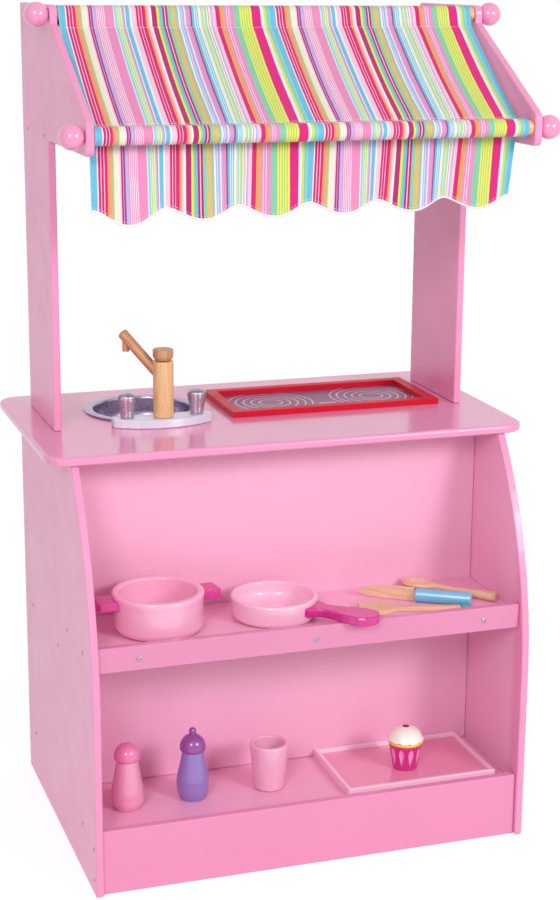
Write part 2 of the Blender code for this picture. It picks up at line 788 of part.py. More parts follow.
def upper_board(name, side):
    """Post and wing in one board, with a round-cornered nose at both rods and a tenon below."""
    front = at(POST_FRONT_SETBACK)
    back = at(POST_FRONT_SETBACK + POST_DEPTH)
    nose = at(WING_FRONT_SETBACK)
    top_front = at(UPPER_TOP_FRONT_SETBACK)
    corners = [
        (front, ON_WORKTOP, 0.0),
        (front, WING_BOTTOM, WING_INNER_RADIUS),
        (nose, WING_BOTTOM, WING_NOSE_RADIUS),
        (nose, WING_NOSE_TOP, WING_NOSE_RADIUS),
        (top_front, UPPER_TOP - UPPER_TOP_NOSE_DROP, UPPER_CHIN_RADIUS),
        (top_front, UPPER_TOP, UPPER_TOP_NOSE_RADIUS),
        (back, UPPER_TOP, UPPER_BACK_RADIUS),
        (back, ON_WORKTOP, 0.0),
    ]
    ends = sorted((side * POST_INNER_X, side * POST_OUTER_X))
    mesh = plate_mesh(name, rounded_outline(corners), ends[0], ends[1], SIDE_ON)
    made = add_object(name, mesh, PINK)
    round_edges(made, PANEL_EDGE_ROUND)

    low, high = tenon_box(side, 0.0)
    tenon = cutter("tenon_" + name, box_mesh("tenon", low, high))
    join = made.modifiers.new("Tenon", "BOOLEAN")
    join.operation = "UNION"
    join.solver = "EXACT"
    join.object = tenon

    hole = ROD_SPIGOT_RADIUS + HOLE_CLEARANCE
    for word, (y, z) in (("top", ROD_TOP_PLACE), ("front", ROD_FRONT_PLACE)):
        start = (ends[0] - CUT_PAST, y, z)
        end = (ends[1] + CUT_PAST, y, z)
        cut_round(made, name + "_hole_" + word, hole, start, end)
    return made


def awning_rod(name, place):
    """Round rod between the upper boards, turned down at both ends to pass through them."""
    shoulder = POST_INNER_X - GAP
    tip = POST_OUTER_X + GAP + ROD_SPIGOT_DEPTH
    r = ROD_RADIUS
    spigot = ROD_SPIGOT_RADIUS
    profile = [
        (0.0, tip),
        (spigot, tip),
        (spigot, shoulder),
        (r, shoulder),
        (r, -shoulder),
        (spigot, -shoulder),
        (spigot, -tip),
        (0.0, -tip),
    ]
    turn = (0.0, math.radians(90.0), 0.0)
    return turned(name, profile, (0.0, *place), BEECH, 0.5, 0.0, ROUND_STEPS, turn)


def ball_knob(name, side, place):
    """Ball with a small flat that seats on the board and a socket for the rod's spigot."""
    flat = math.degrees(math.asin(BALL_FLAT_RADIUS / BALL_RADIUS))
    base = -BALL_RADIUS * math.cos(math.radians(flat))
    round_part = arc((0.0, 0.0), BALL_RADIUS, 90.0, -90.0 + flat, 9)
    socket = ROD_SPIGOT_RADIUS + HOLE_CLEARANCE
    depth = base + ROD_SPIGOT_DEPTH + GAP
    profile = [(0.0, BALL_RADIUS), *round_part[1:], (socket, base), (socket, depth), (0.0, depth)]
    x = side * (POST_OUTER_X + GAP - base)
    turn = (0.0, math.radians(90.0 * side), 0.0)
    return turned(name, profile, (x, *place), PINK, 0.18, 0.0, SMALL_STEPS, turn)


def upper_works():
    for word, side in (("left", -1), ("right", 1)):
        upper_board("upper_board_" + word, side)
    half = POST_INNER_X - GAP
    board(
        "cross_board",
        (-half, at(CROSS_BOARD_FRONT_SETBACK), WING_BOTTOM),
        (half, at(CROSS_BOARD_FRONT_SETBACK + CROSS_BOARD_DEPTH), WING_BOTTOM + SHELF_THICKNESS),
        PINK,
    )
    for word, place in (("top", ROD_TOP_PLACE), ("front", ROD_FRONT_PLACE)):
        awning_rod("awning_rod_" + word, place)
        for end, side in (("left", -1), ("right", 1)):
            ball_knob("ball_knob_" + word + "_" + end, side, place)


# Awning cloth


def teardrop(rod, seam, radius, steps):
    """Loop round a rod, closing on a seam: from one side of the seam round to the other."""
    centre = Vector(rod)
    reach = Vector(seam) - centre
    away = reach.length
    open_half = math.degrees(math.acos(min(1.0, radius / away)))
    heading = math.degrees(math.atan2(reach.y, reach.x))
    return arc(rod, radius, heading + open_half, heading + 360.0 - open_half, steps)


def cloth_section(share):
    """One slice of the cloth at a place across it: outer line, top bore and front bore."""
    inner = ROD_RADIUS + CLOTH_ROD_CLEARANCE
    outer = inner + CLOTH_THICKNESS
    half = CLOTH_THICKNESS / 2.0
    top = Vector(ROD_TOP_PLACE)
    front = Vector(ROD_FRONT_PLACE)
    top_seam = top + Vector((-CLOTH_TOP_SEAM_FORWARD, -CLOTH_TOP_SEAM_DROP))
    front_seam = front + Vector((CLOTH_FRONT_SEAM_BACK, CLOTH_FRONT_SEAM_RISE))

    top_loop = [Vector(p) for p in teardrop(top, top_seam, outer, 9)]
    front_loop = [Vector(p) for p in teardrop(front, front_seam, outer, 9)]

    slope = front_seam - top_seam
    normal = Vector((slope.y, -slope.x)).normalized()
    if normal.y < 0.0:
        normal = -normal
    swell = CLOTH_SLOPE_SWELL * math.cos(2.0 * math.pi * SCALLOP_COUNT * share)
    upper = []
    lower = []
    for t in (0.06, 0.30, 0.54, 0.78, 0.95):
        dip = -CLOTH_SLOPE_SAG * math.sin(math.pi * t) + swell * math.sin(math.pi * t)
        place = top_seam + slope * t + normal * dip
        upper.append(place + normal * half)
        lower.append(place - normal * half)

    scallop = abs(math.sin(math.pi * SCALLOP_COUNT * share))
    first = share * SCALLOP_COUNT < 1.0
    depth = SCALLOP_DEPTH + (FIRST_SCALLOP_SAG if first else 0.0)
    drop = VALANCE_DROP + depth * scallop
    wave = math.sin(2.0 * math.pi * SCALLOP_COUNT * share + VALANCE_WAVE_SHIFT)
    lean = VALANCE_LEFT_LEAN + (VALANCE_RIGHT_LEAN - VALANCE_LEFT_LEAN) * share
    face = []
    rear = []
    for t in (0.10, 0.40, 0.70, 1.0):
        swing = VALANCE_FOLD_DEPTH * wave * t**1.3 + lean * t
        place = front_seam + Vector((swing, -drop * t))
        face.append(place + Vector((-half, 0.0)))
        rear.append(place + Vector((half, 0.0)))

    outline = [*top_loop, *upper, *front_loop_front_first(front_loop), *face, *reversed(rear)]
    outline.extend(reversed(lower))
    bore_top = arc(tuple(top), inner, 0.0, 360.0, 12)[:-1]
    bore_front = arc(tuple(front), inner, 0.0, 360.0, 12)[:-1]
    x = CLOTH_LEFT_X + (CLOTH_RIGHT_X - CLOTH_LEFT_X) * share
    lines = ([(p[0], p[1]) for p in outline], bore_top, bore_front)
    return [[(x, y, z) for y, z in line] for line in lines]


def front_loop_front_first(loop):
    """The front loop starts at its upper side, where the slope comes down to it."""
    return loop if loop[0].y > loop[-1].y else list(reversed(loop))


CLOTH_LEFT_X = -(POST_INNER_X - CLOTH_LEFT_GAP)
CLOTH_RIGHT_X = POST_INNER_X - CLOTH_RIGHT_GAP


def awning_cloth():
    """Cloth as one solid: a loop round each rod, the slope between them and a scalloped valance."""
    count = SCALLOP_COUNT * CLOTH_STATIONS_PER_SCALLOP
    work = bmesh.new()
    slices = []
    for i in range(count + 1):
        share = i / count
        lines = cloth_section(share)
        slices.append([[work.verts.new(p) for p in line] for line in lines])
    for near, far in zip(slices, slices[1:]):
        for line_near, line_far in zip(near, far):
            size = len(line_near)
            for i in range(size):
                j = (i + 1) % size
                work.faces.new((line_near[i], line_near[j], line_far[j], line_far[i]))
    for end in (slices[0], slices[-1]):
        edges = []
        for line in end:
            for a, b in zip(line, line[1:] + line[:1]):
                edges.append(work.edges.get((a, b)))
        bmesh.ops.triangle_fill(work, edges=edges, use_beauty=True)
    mesh = mesh_from(work, "awning_cloth")
    return add_object("awning_cloth", mesh, (0.85, 0.30, 0.50), 0.85, 0.0, 30.0)


# Sink, tap ledge and tap


def sink_bowl():
    """Thin bowl with a flat rim that lies on the worktop."""
    inner = SINK_BOWL_RADIUS
    wall = SINK_WALL
    corner = inner - SINK_FLOOR_RADIUS
    depth = SINK_DEPTH
    fall = depth - corner
    inside = arc((SINK_FLOOR_RADIUS, -fall), corner, -90.0, 0.0, 5)
    outside = arc((SINK_FLOOR_RADIUS, -fall), corner + wall, 0.0, -90.0, 5)
    lip = SINK_RIM_HEIGHT
    profile = [
        (0.0, -depth),
        *inside,
        (inner, 0.0),
        (inner + SINK_LIP_ROUND * 0.5, lip * 0.75),
        (inner + SINK_LIP_ROUND * 1.3, lip),
        (SINK_RIM_RADIUS - SINK_LIP_ROUND, lip),
        (SINK_RIM_RADIUS, lip * 0.45),
        (SINK_RIM_RADIUS, GAP),
        (inner + wall, GAP),
        *outside,
        (0.0, -depth - wall),
    ]
    place = (SINK_CENTRE_X, at(SINK_CENTRE_SETBACK), WORKTOP_HEIGHT)
    return turned("sink_bowl", profile, place, SILVER, 0.3, 0.9, LARGE_STEPS)


def tap_ledge():
    """Segment of a disc: curved towards the shop side, straight beside the sink."""
    centre_y = LEDGE_FRONT_SETBACK + LEDGE_RADIUS
    half_angle = math.degrees(math.asin(LEDGE_HALF_WIDTH / LEDGE_RADIUS))
    curve = arc((LEDGE_CENTRE_X, at(centre_y)), LEDGE_RADIUS, 270.0 - half_angle, 270.0 + half_angle, 12)
    chord = at(SINK_CENTRE_SETBACK - SINK_RIM_RADIUS - LEDGE_SINK_CLEARANCE)
    outline = [
        *curve,
        (LEDGE_CENTRE_X + LEDGE_HALF_WIDTH, chord),
        (LEDGE_CENTRE_X - LEDGE_HALF_WIDTH, chord),
    ]
    mesh = plate_mesh("tap_ledge", outline, ON_WORKTOP, LEDGE_TOP, FLAT)
    made = add_object("tap_ledge", mesh, SILVER, 0.3, 0.8)
    round_edges(made, LEDGE_EDGE_ROUND)
    for word, x, y, radius in pin_places():
        low = (x, y, ON_WORKTOP - CUT_PAST)
        high = (x, y, LEDGE_TOP + CUT_PAST)
        cut_round(made, word + "_ledge_hole", radius + HOLE_CLEARANCE, low, high)
    return made


def standing_pins():
    seat = WORKTOP_HEIGHT - PIN_SEAT_DEPTH
    for word, x, y, radius in pin_places():
        rise = TAP_PIN_RISE if word == "tap_pin" else TAP_KNOB_PIN_RISE
        mesh = cylinder_mesh(word, radius, (x, y, seat), (x, y, ON_LEDGE + rise))
        add_object(word, mesh, BEECH, 0.5)


def spout_frame():
    """Start, direction and end of the spout's centre line."""
    turn = math.radians(SPOUT_TURN)
    lift = math.radians(SPOUT_ANGLE)
    level = Vector((-math.sin(turn), math.cos(turn), 0.0))
    heading = level * math.cos(lift) + Vector((0.0, 0.0, math.sin(lift)))
    middle = Vector((*TAP_PLACE, ON_LEDGE + SPOUT_HEIGHT))
    start = middle + heading * ((TAP_RADIUS - SPOUT_SOCKET_DEPTH) / math.cos(lift))
    end = middle + heading * (SPOUT_REACH / math.cos(lift))
    return start, heading, end


def tap():
    """Column that turns on its pin, with the spout and nozzle let into it, and a cap on top."""
    r = TAP_RADIUS
    top = TAP_COLUMN_HEIGHT
    pin = TAP_PIN_RADIUS + HOLE_CLEARANCE
    bore = TAP_PIN_RISE + GAP
    edge = TAP_EDGE_ROUND
    spindle = TAP_CAP_SPINDLE_RADIUS + HOLE_CLEARANCE
    socket = top - TAP_CAP_SPINDLE_LENGTH - GAP
    profile = [
        (0.0, socket),
        (spindle, socket),
        (spindle, top),
        (r - edge, top),
        (r, top - edge),
        (r, edge),
        (r - edge, 0.0),
        (pin, 0.0),
        (pin, bore),
        (0.0, bore),
    ]
    base = (*TAP_PLACE, ON_LEDGE)
    column = turned("tap_column", profile, base, BEECH, 0.5)

    start, heading, end = spout_frame()
    length = (end - start).length
    cut_round(column, "spout_socket", SPOUT_RADIUS + GAP, start - heading * GAP, end)

    s = SPOUT_RADIUS
    nose = SPOUT_END_ROUND
    bar = [
        (0.0, length),
        *arc((s - nose, length - nose), nose, 90.0, 0.0, 3),
        (s, 0.0),
        (0.0, 0.0),
    ]
    turn = heading.to_track_quat("Z", "Y").to_euler()
    spout = turned("tap_spout", bar, start, BEECH, 0.5, 0.0, PIN_STEPS, turn)

    tip = end - heading * NOZZLE_INSET
    below = s / math.cos(math.radians(SPOUT_ANGLE))
    nozzle_top = Vector((tip.x, tip.y, tip.z - below + NOZZLE_SOCKET_DEPTH + NOZZLE_RADIUS))
    nozzle_end = Vector((tip.x, tip.y, tip.z - below - NOZZLE_DROP))
    seat = nozzle_top + Vector((0.0, 0.0, GAP))
    cut_round(spout, "nozzle_socket", NOZZLE_RADIUS + GAP, seat, nozzle_end)
    mesh = cylinder_mesh("tap_nozzle", NOZZLE_RADIUS, nozzle_end, nozzle_top)
    nozzle = add_object("tap_nozzle", mesh, BEECH, 0.5)
    axis = joint_axis("tap_axis", base)
    for piece in (column, spout, nozzle):
        carry(piece, axis)

    h = TAP_CAP_HEIGHT
    chamfer = TAP_CAP_CHAMFER
    foot = r - chamfer * 0.62
    spindle_end = -TAP_CAP_SPINDLE_LENGTH - TAP_CAP_GAP + 2.0 * GAP
    cap = [
        (0.0, h),
        (r - edge, h),
        (r, h - edge),
        (r, chamfer),
        (foot, 0.0),
        (TAP_CAP_SPINDLE_RADIUS, 0.0),
        (TAP_CAP_SPINDLE_RADIUS, spindle_end),
        (0.0, spindle_end),
    ]
    place = (*TAP_PLACE, ON_LEDGE + top + TAP_CAP_GAP)
    carry(turned("tap_cap", cap, place, BEECH, 0.5), axis)


def tap_knobs():
    """Silver knobs that widen upwards to a domed top, each on its own pin."""
    base = TAP_KNOB_BASE_RADIUS
    wide = TAP_KNOB_TOP_RADIUS
    high = TAP_KNOB_HEIGHT
    shoulder = high * 0.80
    pin = TAP_KNOB_PIN_RADIUS + HOLE_CLEARANCE
    bore = TAP_KNOB_PIN_RISE + GAP
    profile = [
        (0.0, high),
        (wide * 0.45, high * 0.985),
        (wide * 0.78, high * 0.93),
        (wide * 0.95, high * 0.865),
        (wide, shoulder),
        (wide * 0.965, high * 0.66),
        (base + (wide - base) * 0.25, high * 0.28),
        (base, TAP_KNOB_FOOT_ROUND),
        (base - TAP_KNOB_FOOT_ROUND, 0.0),
        (pin, 0.0),
        (pin, bore),
        (0.0, bore),
    ]
    for word, side in (("left", -1), ("right", 1)):
        place = (TAP_PLACE[0] + side * TAP_KNOB_SPACING, at(TAP_KNOB_SETBACK), ON_LEDGE)
        turned("tap_knob_" + word, profile, place, SILVER, 0.28, 0.9, SMALL_STEPS)


# Hob


def hob():
    """Grey plate flush with the worktop, and the red mitred frame that covers its edges."""
    centre = (HOB_CENTRE_X, at(HOB_CENTRE_SETBACK))
    top = ON_WORKTOP + HOB_FRAME_HEIGHT
    inside = HOB_FRAME_WIDTH
    edge = HOB_FRAME_ROUND
    profile = [
        (0.0, ON_WORKTOP),
        (0.0, top - edge),
        (edge, top),
        (inside - edge, top),
        (inside, top - edge),
        (inside, ON_WORKTOP),
    ]
    mesh = mitred_frame_mesh("hob_frame", centre, HOB_WIDTH / 2.0, HOB_DEPTH / 2.0, profile)
    add_object("hob_frame", mesh, (0.62, 0.01, 0.06), 0.25)

    a = HOB_PLATE_HALF_WIDTH
    b = HOB_PLATE_HALF_DEPTH
    low = (centre[0] - a, centre[1] - b, WORKTOP_HEIGHT - HOB_PLATE_THICKNESS)
    high = (centre[0] + a, centre[1] + b, WORKTOP_HEIGHT)
    add_object("hob_plate", box_mesh("hob_plate", low, high), (0.40, 0.35, 0.42), 0.35)


# Play food and cookware on the shelves


def pot():
    """Thick-walled turned pot with two block handles let into its side."""
    side = POT_SIDE_RADIUS
    rim = POT_RIM_RADIUS
    wall = POT_WALL
    high = POT_HEIGHT
    foot = POT_BASE_ROUND
    inside = rim - wall
    well = POT_INSIDE_ROUND
    floor_radius = inside - well * 1.25
    round_wall = wall * 0.32
    profile = [
        (0.0, POT_FLOOR),
        (floor_radius, POT_FLOOR),
        *arc((floor_radius, POT_FLOOR + well), well, -75.0, -10.0, 3),
        (inside, high - round_wall),
        (inside + round_wall * 0.5, high - round_wall * 0.25),
        (inside + round_wall * 1.2, high),
        (rim - round_wall, high),
        (rim - round_wall * 0.25, high - round_wall * 0.35),
        (rim, high - round_wall * 1.3),
        (side, high * 0.62),
        (side, foot * 1.05),
        *arc((side - foot, foot), foot, -12.0, -72.0, 4),
        (POT_BASE_RADIUS, 0.0),
        (0.0, 0.0),
    ]
    place = (POT_X, at(POT_SETBACK), ON_MIDDLE_SHELF)
    body = turned("pot_body", profile, place, LIGHT_PINK, 0.3, 0.0, LARGE_STEPS)
    top = ON_MIDDLE_SHELF + high - POT_HANDLE_DROP
    bottom = top - POT_HANDLE_THICKNESS
    root = side - POT_HANDLE_SEAT_DEPTH
    end = rim + POT_HANDLE_REACH
    half = POT_HANDLE_WIDTH / 2.0
    half_end = POT_HANDLE_END_WIDTH / 2.0
    outline = rounded_outline(
        [
            (root, -half, 0.0),
            (end, -half_end, POT_HANDLE_CORNER),
            (end, half_end, POT_HANDLE_CORNER),
            (root, half, 0.0),
        ]
    )
    far = rim + CUT_PAST
    seat = half + GAP
    socket_outline = [(root - GAP, -seat), (far, -seat), (far, seat), (root - GAP, seat)]
    turns = (("left", 180.0 + POT_LEFT_HANDLE_TURN), ("right", POT_RIGHT_HANDLE_TURN))
    for word, turn in turns:
        name = "pot_handle_" + word
        frame = flat_at(place[0], place[1], turn)
        mesh = plate_mesh(name, outline, bottom, top, frame)
        handle = add_object(name, mesh, MAGENTA, 0.35)
        round_edges(handle, POT_HANDLE_ROUND)
        carry(handle, body)
        socket = plate_mesh(name + "_socket", socket_outline, bottom - GAP, top + GAP, frame)
        cut(body, cutter(name + "_socket", socket))


def pan_handle_outline():
    """Handle seen from above: flared at the pan, narrow at the neck and round at the end."""
    start = PAN_RIM_RADIUS - PAN_HANDLE_SEAT_DEPTH
    seat = PAN_HANDLE_SEAT_WIDTH / 2.0
    neck = PAN_HANDLE_NECK_WIDTH / 2.0
    tip = PAN_HANDLE_END_WIDTH / 2.0
    tip_centre = (PAN_SETBACK + PAN_HANDLE_OVERHANG - tip) / math.sin(math.radians(-PAN_HANDLE_TURN))
    end = tip_centre + tip
    flare = PAN_HANDLE_FLARE
    swell = PAN_HANDLE_SWELL
    lower = [
        (start, -seat),
        (start + flare * 0.22, -seat * 0.96),
        (start + flare * 0.48, -(neck + (seat - neck) * 0.52)),
        (start + flare * 0.74, -(neck + (seat - neck) * 0.16)),
        (start + flare, -neck),
        (end - swell, -neck * 1.01),
        (end - swell * 0.84, -(neck + (tip - neck) * 0.24)),
        (end - swell * 0.67, -(neck + (tip - neck) * 0.62)),
        (end - swell * 0.50, -(neck + (tip - neck) * 0.90)),
    ]
    tip_round = arc((tip_centre, 0.0), tip, -84.0, 84.0, 8)
    upper = [(x, -y) for x, y in reversed(lower)]
    return [*lower, *tip_round, *upper]


def pan():
    """Low turned pan; its handle rests on the shelf rail."""
    rim = PAN_RIM_RADIUS
    wall = PAN_WALL
    high = PAN_HEIGHT
    foot = PAN_BASE_ROUND
    inside = rim - wall
    edge = wall * 0.30
    profile = [
        (0.0, PAN_FLOOR),
        (inside - PAN_WELL_ROUND, PAN_FLOOR),
        (inside - PAN_WELL_ROUND * 0.38, PAN_FLOOR + PAN_WELL_ROUND * 0.16),
        (inside - PAN_SIDE_TAPER, PAN_FLOOR + PAN_WELL_ROUND * 0.53),
        (inside, high - edge),
        (inside + edge * 0.6, high - edge * 0.2),
        (inside + edge * 1.4, high),
        (rim - edge, high),
        (rim - edge * 0.2, high - edge * 0.4),
        (rim, high - edge * 1.4),
        (rim - PAN_SIDE_TAPER, foot * 1.2),
        *arc((rim - 1.5 * PAN_SIDE_TAPER - foot, foot), foot, -8.0, -70.0, 3),
        (PAN_BASE_RADIUS, 0.0),
        (0.0, 0.0),
    ]
    place = (PAN_X, at(PAN_SETBACK), ON_MIDDLE_SHELF)
    body = turned("pan_body", profile, place, LIGHT_PINK, 0.3, 0.0, LARGE_STEPS)
    bottom = RAIL_TOP + GAP
    top = bottom + PAN_HANDLE_THICKNESS
    frame = flat_at(place[0], place[1], PAN_HANDLE_TURN)
    outline = pan_handle_outline()
    mesh = plate_mesh("pan_handle", outline, bottom, top, frame)
    handle = add_object("pan_handle", mesh, MAGENTA, 0.35)
    round_edges(handle, PAN_HANDLE_ROUND, 2)
    carry(handle, body)
    start = outline[0][0]
    seat = PAN_HANDLE_SEAT_WIDTH / 2.0 + GAP
    far = rim + CUT_PAST
    near = start - GAP
    socket_outline = [(near, -seat), (far, -seat), (far, seat), (near, seat)]
    socket = plate_mesh("pan_handle_socket", socket_outline, bottom - GAP, top + GAP, frame)
    cut(body, cutter("pan_handle_socket", socket))


def knife():
    """Round handle with a flat blade let into its end."""
    turn = math.radians(KNIFE_TURN)
    ahead = Vector((math.cos(turn), math.sin(turn), 0.0))
    r = KNIFE_HANDLE_RADIUS
    start = Vector((KNIFE_START_X, at(KNIFE_START_SETBACK), ON_MIDDLE_SHELF + r))
    length = KNIFE_HANDLE_LENGTH
    edge = KNIFE_HANDLE_ROUND
    profile = [
        (0.0, length),
        *arc((r - edge, length - edge), edge, 90.0, 0.0, 2),
        *arc((r - edge, edge), edge, 0.0, -90.0, 2),
        (0.0, 0.0),
    ]
    to_axis = ahead.to_track_quat("Z", "Y").to_euler()
    handle = turned("knife_handle", profile, start, (0.25, 0.62, 0.85), 0.3, 0.0, SMALL_STEPS, to_axis)

    reach = KNIFE_BLADE_LENGTH
    tenon = KNIFE_TENON_LENGTH
    half = KNIFE_BLADE_WIDTH / 2.0
    peg = half * 0.6
    rise = KNIFE_BLADE_RISE
    back = -reach
    shoulder = -KNIFE_SHOULDER_GAP
    outline = [
        (tenon, -peg),
        (tenon, peg),
        (shoulder, peg),
        (shoulder, rise + half),
        (back * 0.50, rise + half),
        (back * 0.78, rise + half * 0.72),
        (back * 0.94, rise + half * 0.30),
        (back, rise - half * 0.12),
        (back * 0.96, rise - half * 0.45),
        (back * 0.80, rise - half * 0.78),
        (back * 0.50, rise - half * 0.96),
        (shoulder, rise - half),
        (shoulder, -peg),
    ]
    thick = KNIFE_BLADE_THICKNESS / 2.0
    upright = Matrix.Rotation(math.radians(90.0), 4, "X")
    frame = Matrix.Translation(start) @ Matrix.Rotation(turn, 4, "Z") @ upright
    mesh = plate_mesh("knife_blade", outline, -thick, thick, frame)
    blade = add_object("knife_blade", mesh, (0.74, 0.55, 0.34), 0.5)
    round_edges(blade, KNIFE_BLADE_THICKNESS / 5.0)
    carry(blade, handle)
    slot = [
        (tenon + GAP, -peg - GAP),
        (tenon + GAP, peg + GAP),
        (-CUT_PAST, peg + GAP),
        (-CUT_PAST, -peg - GAP),
    ]
    slot_mesh = plate_mesh("knife_slot", slot, -thick - GAP, thick + GAP, frame)
    cut(handle, cutter("knife_slot", slot_mesh))


def spoon():
    """Carved spoon: a hollowed oval bowl, a thin neck and a handle that thickens to its end."""
    half_length = SPOON_BOWL_LENGTH / 2.0
    half_width = SPOON_BOWL_WIDTH / 2.0
    neck = SPOON_NECK_RADIUS
    thick = SPOON_HANDLE_RADIUS
    end = SPOON_LENGTH
    height = SPOON_BOWL_HEIGHT
    stations = []
    for t in (-0.985, -0.80, -0.50, 0.0, 0.45, 0.78):
        width = half_width * math.sqrt(1.0 - t * t)
        tall = height * (0.62 + 0.38 * (1.0 - abs(t)))
        stations.append((half_length * t, max(width, SPOON_TIP_WIDTH / 2.0), tall))
    stations.extend(
        [
            (half_length + 0.004, neck * 1.15, neck * 2.2),
            (half_length + SPOON_NECK_LENGTH, neck, neck * 2.0),
            (end * 0.72, thick * 0.80, thick * 1.55),
            (end - 0.010, thick, thick * 2.0),
            (end - 0.002, thick * 0.92, thick * 1.9),
            (end, thick * 0.62, thick * 1.4),
        ]
    )
    frame = flat_at(SPOON_X, at(SPOON_SETBACK), SPOON_TURN)
    lift = thick
    sections = []
    for x, half, tall in stations:
        ring = []
        for k in range(SPOON_SIDES):
            a = 2.0 * math.pi * k / SPOON_SIDES
            z = min(tall / 2.0, lift) * math.sin(a) + lift
            ring.append(frame @ Vector((x, half * math.cos(a), ON_MIDDLE_SHELF + z)))
        sections.append(ring)
    made = add_object("spoon", lofted_mesh("spoon", sections), BEECH, 0.5)
    work = bmesh.new()
    bmesh.ops.create_uvsphere(work, u_segments=16, v_segments=8, radius=1.0)
    scale = (half_length * 0.80, half_width * 0.78, SPOON_BOWL_HOLLOW)
    bmesh.ops.scale(work, vec=scale, verts=work.verts)
    top = lift + min(height / 2.0, lift)
    place = frame @ Matrix.Translation((0.0, 0.0, ON_MIDDLE_SHELF + top + 2.0 * GAP))
    bmesh.ops.transform(work, matrix=place, verts=work.verts)
    cut(made, cutter("spoon_hollow", mesh_from(work, "spoon_hollow")))


def turner():
    """Flat slotted head that narrows to a square handle with a round coloured tip."""
    length = TURNER_LENGTH
    head = TURNER_HEAD_LENGTH
    half = TURNER_HEAD_WIDTH / 2.0
    neck = TURNER_NECK_WIDTH / 2.0
    corner = TURNER_CORNER_RADIUS
    outline = [
        *rounded_corner((head, -half), (0.0, -half), (0.0, 0.0), corner, 3),
        *rounded_corner((0.0, 0.0), (0.0, half), (head, half), corner, 3),
        (head * 0.80, half * 0.94),
        (head * 1.05, half * 0.62),
        (head * 1.30, neck * 1.05),
        (length, neck * 0.90),
        (length, -neck * 0.90),
        (head * 1.30, -neck * 1.05),
        (head * 1.05, -half * 0.62),
        (head * 0.80, -half * 0.94),
    ]
    tip = TURNER_TIP_RADIUS
    thick = TURNER_THICKNESS
    frame = flat_at(TURNER_X, at(TURNER_SETBACK), TURNER_TURN)
    mesh = plate_mesh("turner", outline, ON_MIDDLE_SHELF, ON_MIDDLE_SHELF + thick, frame)
    made = add_object("turner", mesh, BEECH, 0.5)
    round_edges(made, TURNER_EDGE_ROUND)
    pitch = TURNER_HEAD_WIDTH / (TURNER_SLOT_COUNT + 1)
    slot = TURNER_SLOT_WIDTH / 2.0
    near = TURNER_SLOT_START
    far = near + TURNER_SLOT_LENGTH
    low = ON_MIDDLE_SHELF - CUT_PAST
    high = ON_MIDDLE_SHELF + thick + CUT_PAST
    for k in range(TURNER_SLOT_COUNT):
        y = pitch * (k + 1) - half
        corners = [(near, y - slot), (far, y - slot), (far, y + slot), (near, y + slot)]
        name = "turner_slot_" + str(k + 1)
        cut(made, cutter(name, plate_mesh(name, corners, low, high, frame)))

    peg = TURNER_PEG_RADIUS
    edge = TURNER_TIP_WALL_ROUND
    long = TURNER_TIP_LENGTH
    profile = [
        (0.0, long),
        (tip - edge, long),
        (tip, long - edge),
        (tip, edge),
        (tip - edge, 0.0),
        (peg, 0.0),
        (peg, -TURNER_PEG_LENGTH),
        (0.0, -TURNER_PEG_LENGTH),
    ]
    ahead = Vector((math.cos(math.radians(TURNER_TURN)), math.sin(math.radians(TURNER_TURN)), 0.0))
    start = frame @ Vector((length + GAP, 0.0, ON_MIDDLE_SHELF + tip))
    to_axis = ahead.to_track_quat("Z", "Y").to_euler()
    end_piece = turned("turner_tip", profile, start, (0.05, 0.50, 0.52), 0.3, 0.0, PIN_STEPS, to_axis)
    carry(end_piece, made)
    hole_start = start + ahead * GAP
    hole_end = start - ahead * (TURNER_PEG_LENGTH + 2.0 * GAP)
    cut_round(made, "turner_peg_hole", peg + GAP, hole_start, hole_end, 12)


def shaker_body(name, place, mid, colour):
    """Turned body with its widest place at the height mid and a socket for the cap's peg."""
    base = SHAKER_BASE_RADIUS
    belly = SHAKER_BELLY_RADIUS
    neck = SHAKER_NECK_RADIUS
    high = SHAKER_BODY_HEIGHT
    peg = SHAKER_PEG_RADIUS + GAP
    socket = high - SHAKER_PEG_LENGTH - GAP
    profile = [
        (0.0, socket),
        (peg, socket),
        (peg, high),
        (neck, high),
        (neck + (belly - neck) * 0.28, mid + (high - mid) * 0.72),
        (neck + (belly - neck) * 0.66, mid + (high - mid) * 0.42),
        (belly * 0.985, mid + (high - mid) * 0.16),
        (belly, mid),
        (belly * 0.975, mid * 0.55),
        (base * 1.06, mid * 0.16),
        (base * 0.96, 0.0),
        (0.0, 0.0),
    ]
    return turned(name, profile, (*place, ON_BOTTOM_SHELF), colour, 0.3, 0.0, SMALL_STEPS)


def shaker_cap(name, place, colour, bud):
    """Dome that overhangs the body a little, with a peg below and, on one of them, a bud on top."""
    r = SHAKER_CAP_RADIUS
    high = SHAKER_CAP_HEIGHT
    peg = SHAKER_PEG_RADIUS
    dome = [(r * math.cos(math.radians(a)), high * 0.22 + high * 0.78 * math.sin(math.radians(a)))
            for a in (74.0, 58.0, 42.0, 26.0, 10.0, -6.0)]
    top = [(0.0, high)]
    if bud:
        b = PEPPER_BUD_RADIUS
        n = PEPPER_BUD_NECK_RADIUS
        seat = high * 0.985 + PEPPER_BUD_NECK_HEIGHT
        centre = seat + b * 0.72
        top = [(0.0, centre + b), *arc((0.0, centre), b, 60.0, -40.0, 4), (n, seat), (n, high * 0.985)]
    profile = [
        *top,
        *dome,
        (r * 0.90, high * 0.03),
        (r * 0.86, 0.0),
        (peg, 0.0),
        (peg, -SHAKER_PEG_LENGTH),
        (0.0, -SHAKER_PEG_LENGTH),
    ]
    seat = (*place, ON_BOTTOM_SHELF + SHAKER_BODY_HEIGHT + GAP)
    return turned(name, profile, seat, colour, 0.25, 0.0, SMALL_STEPS)


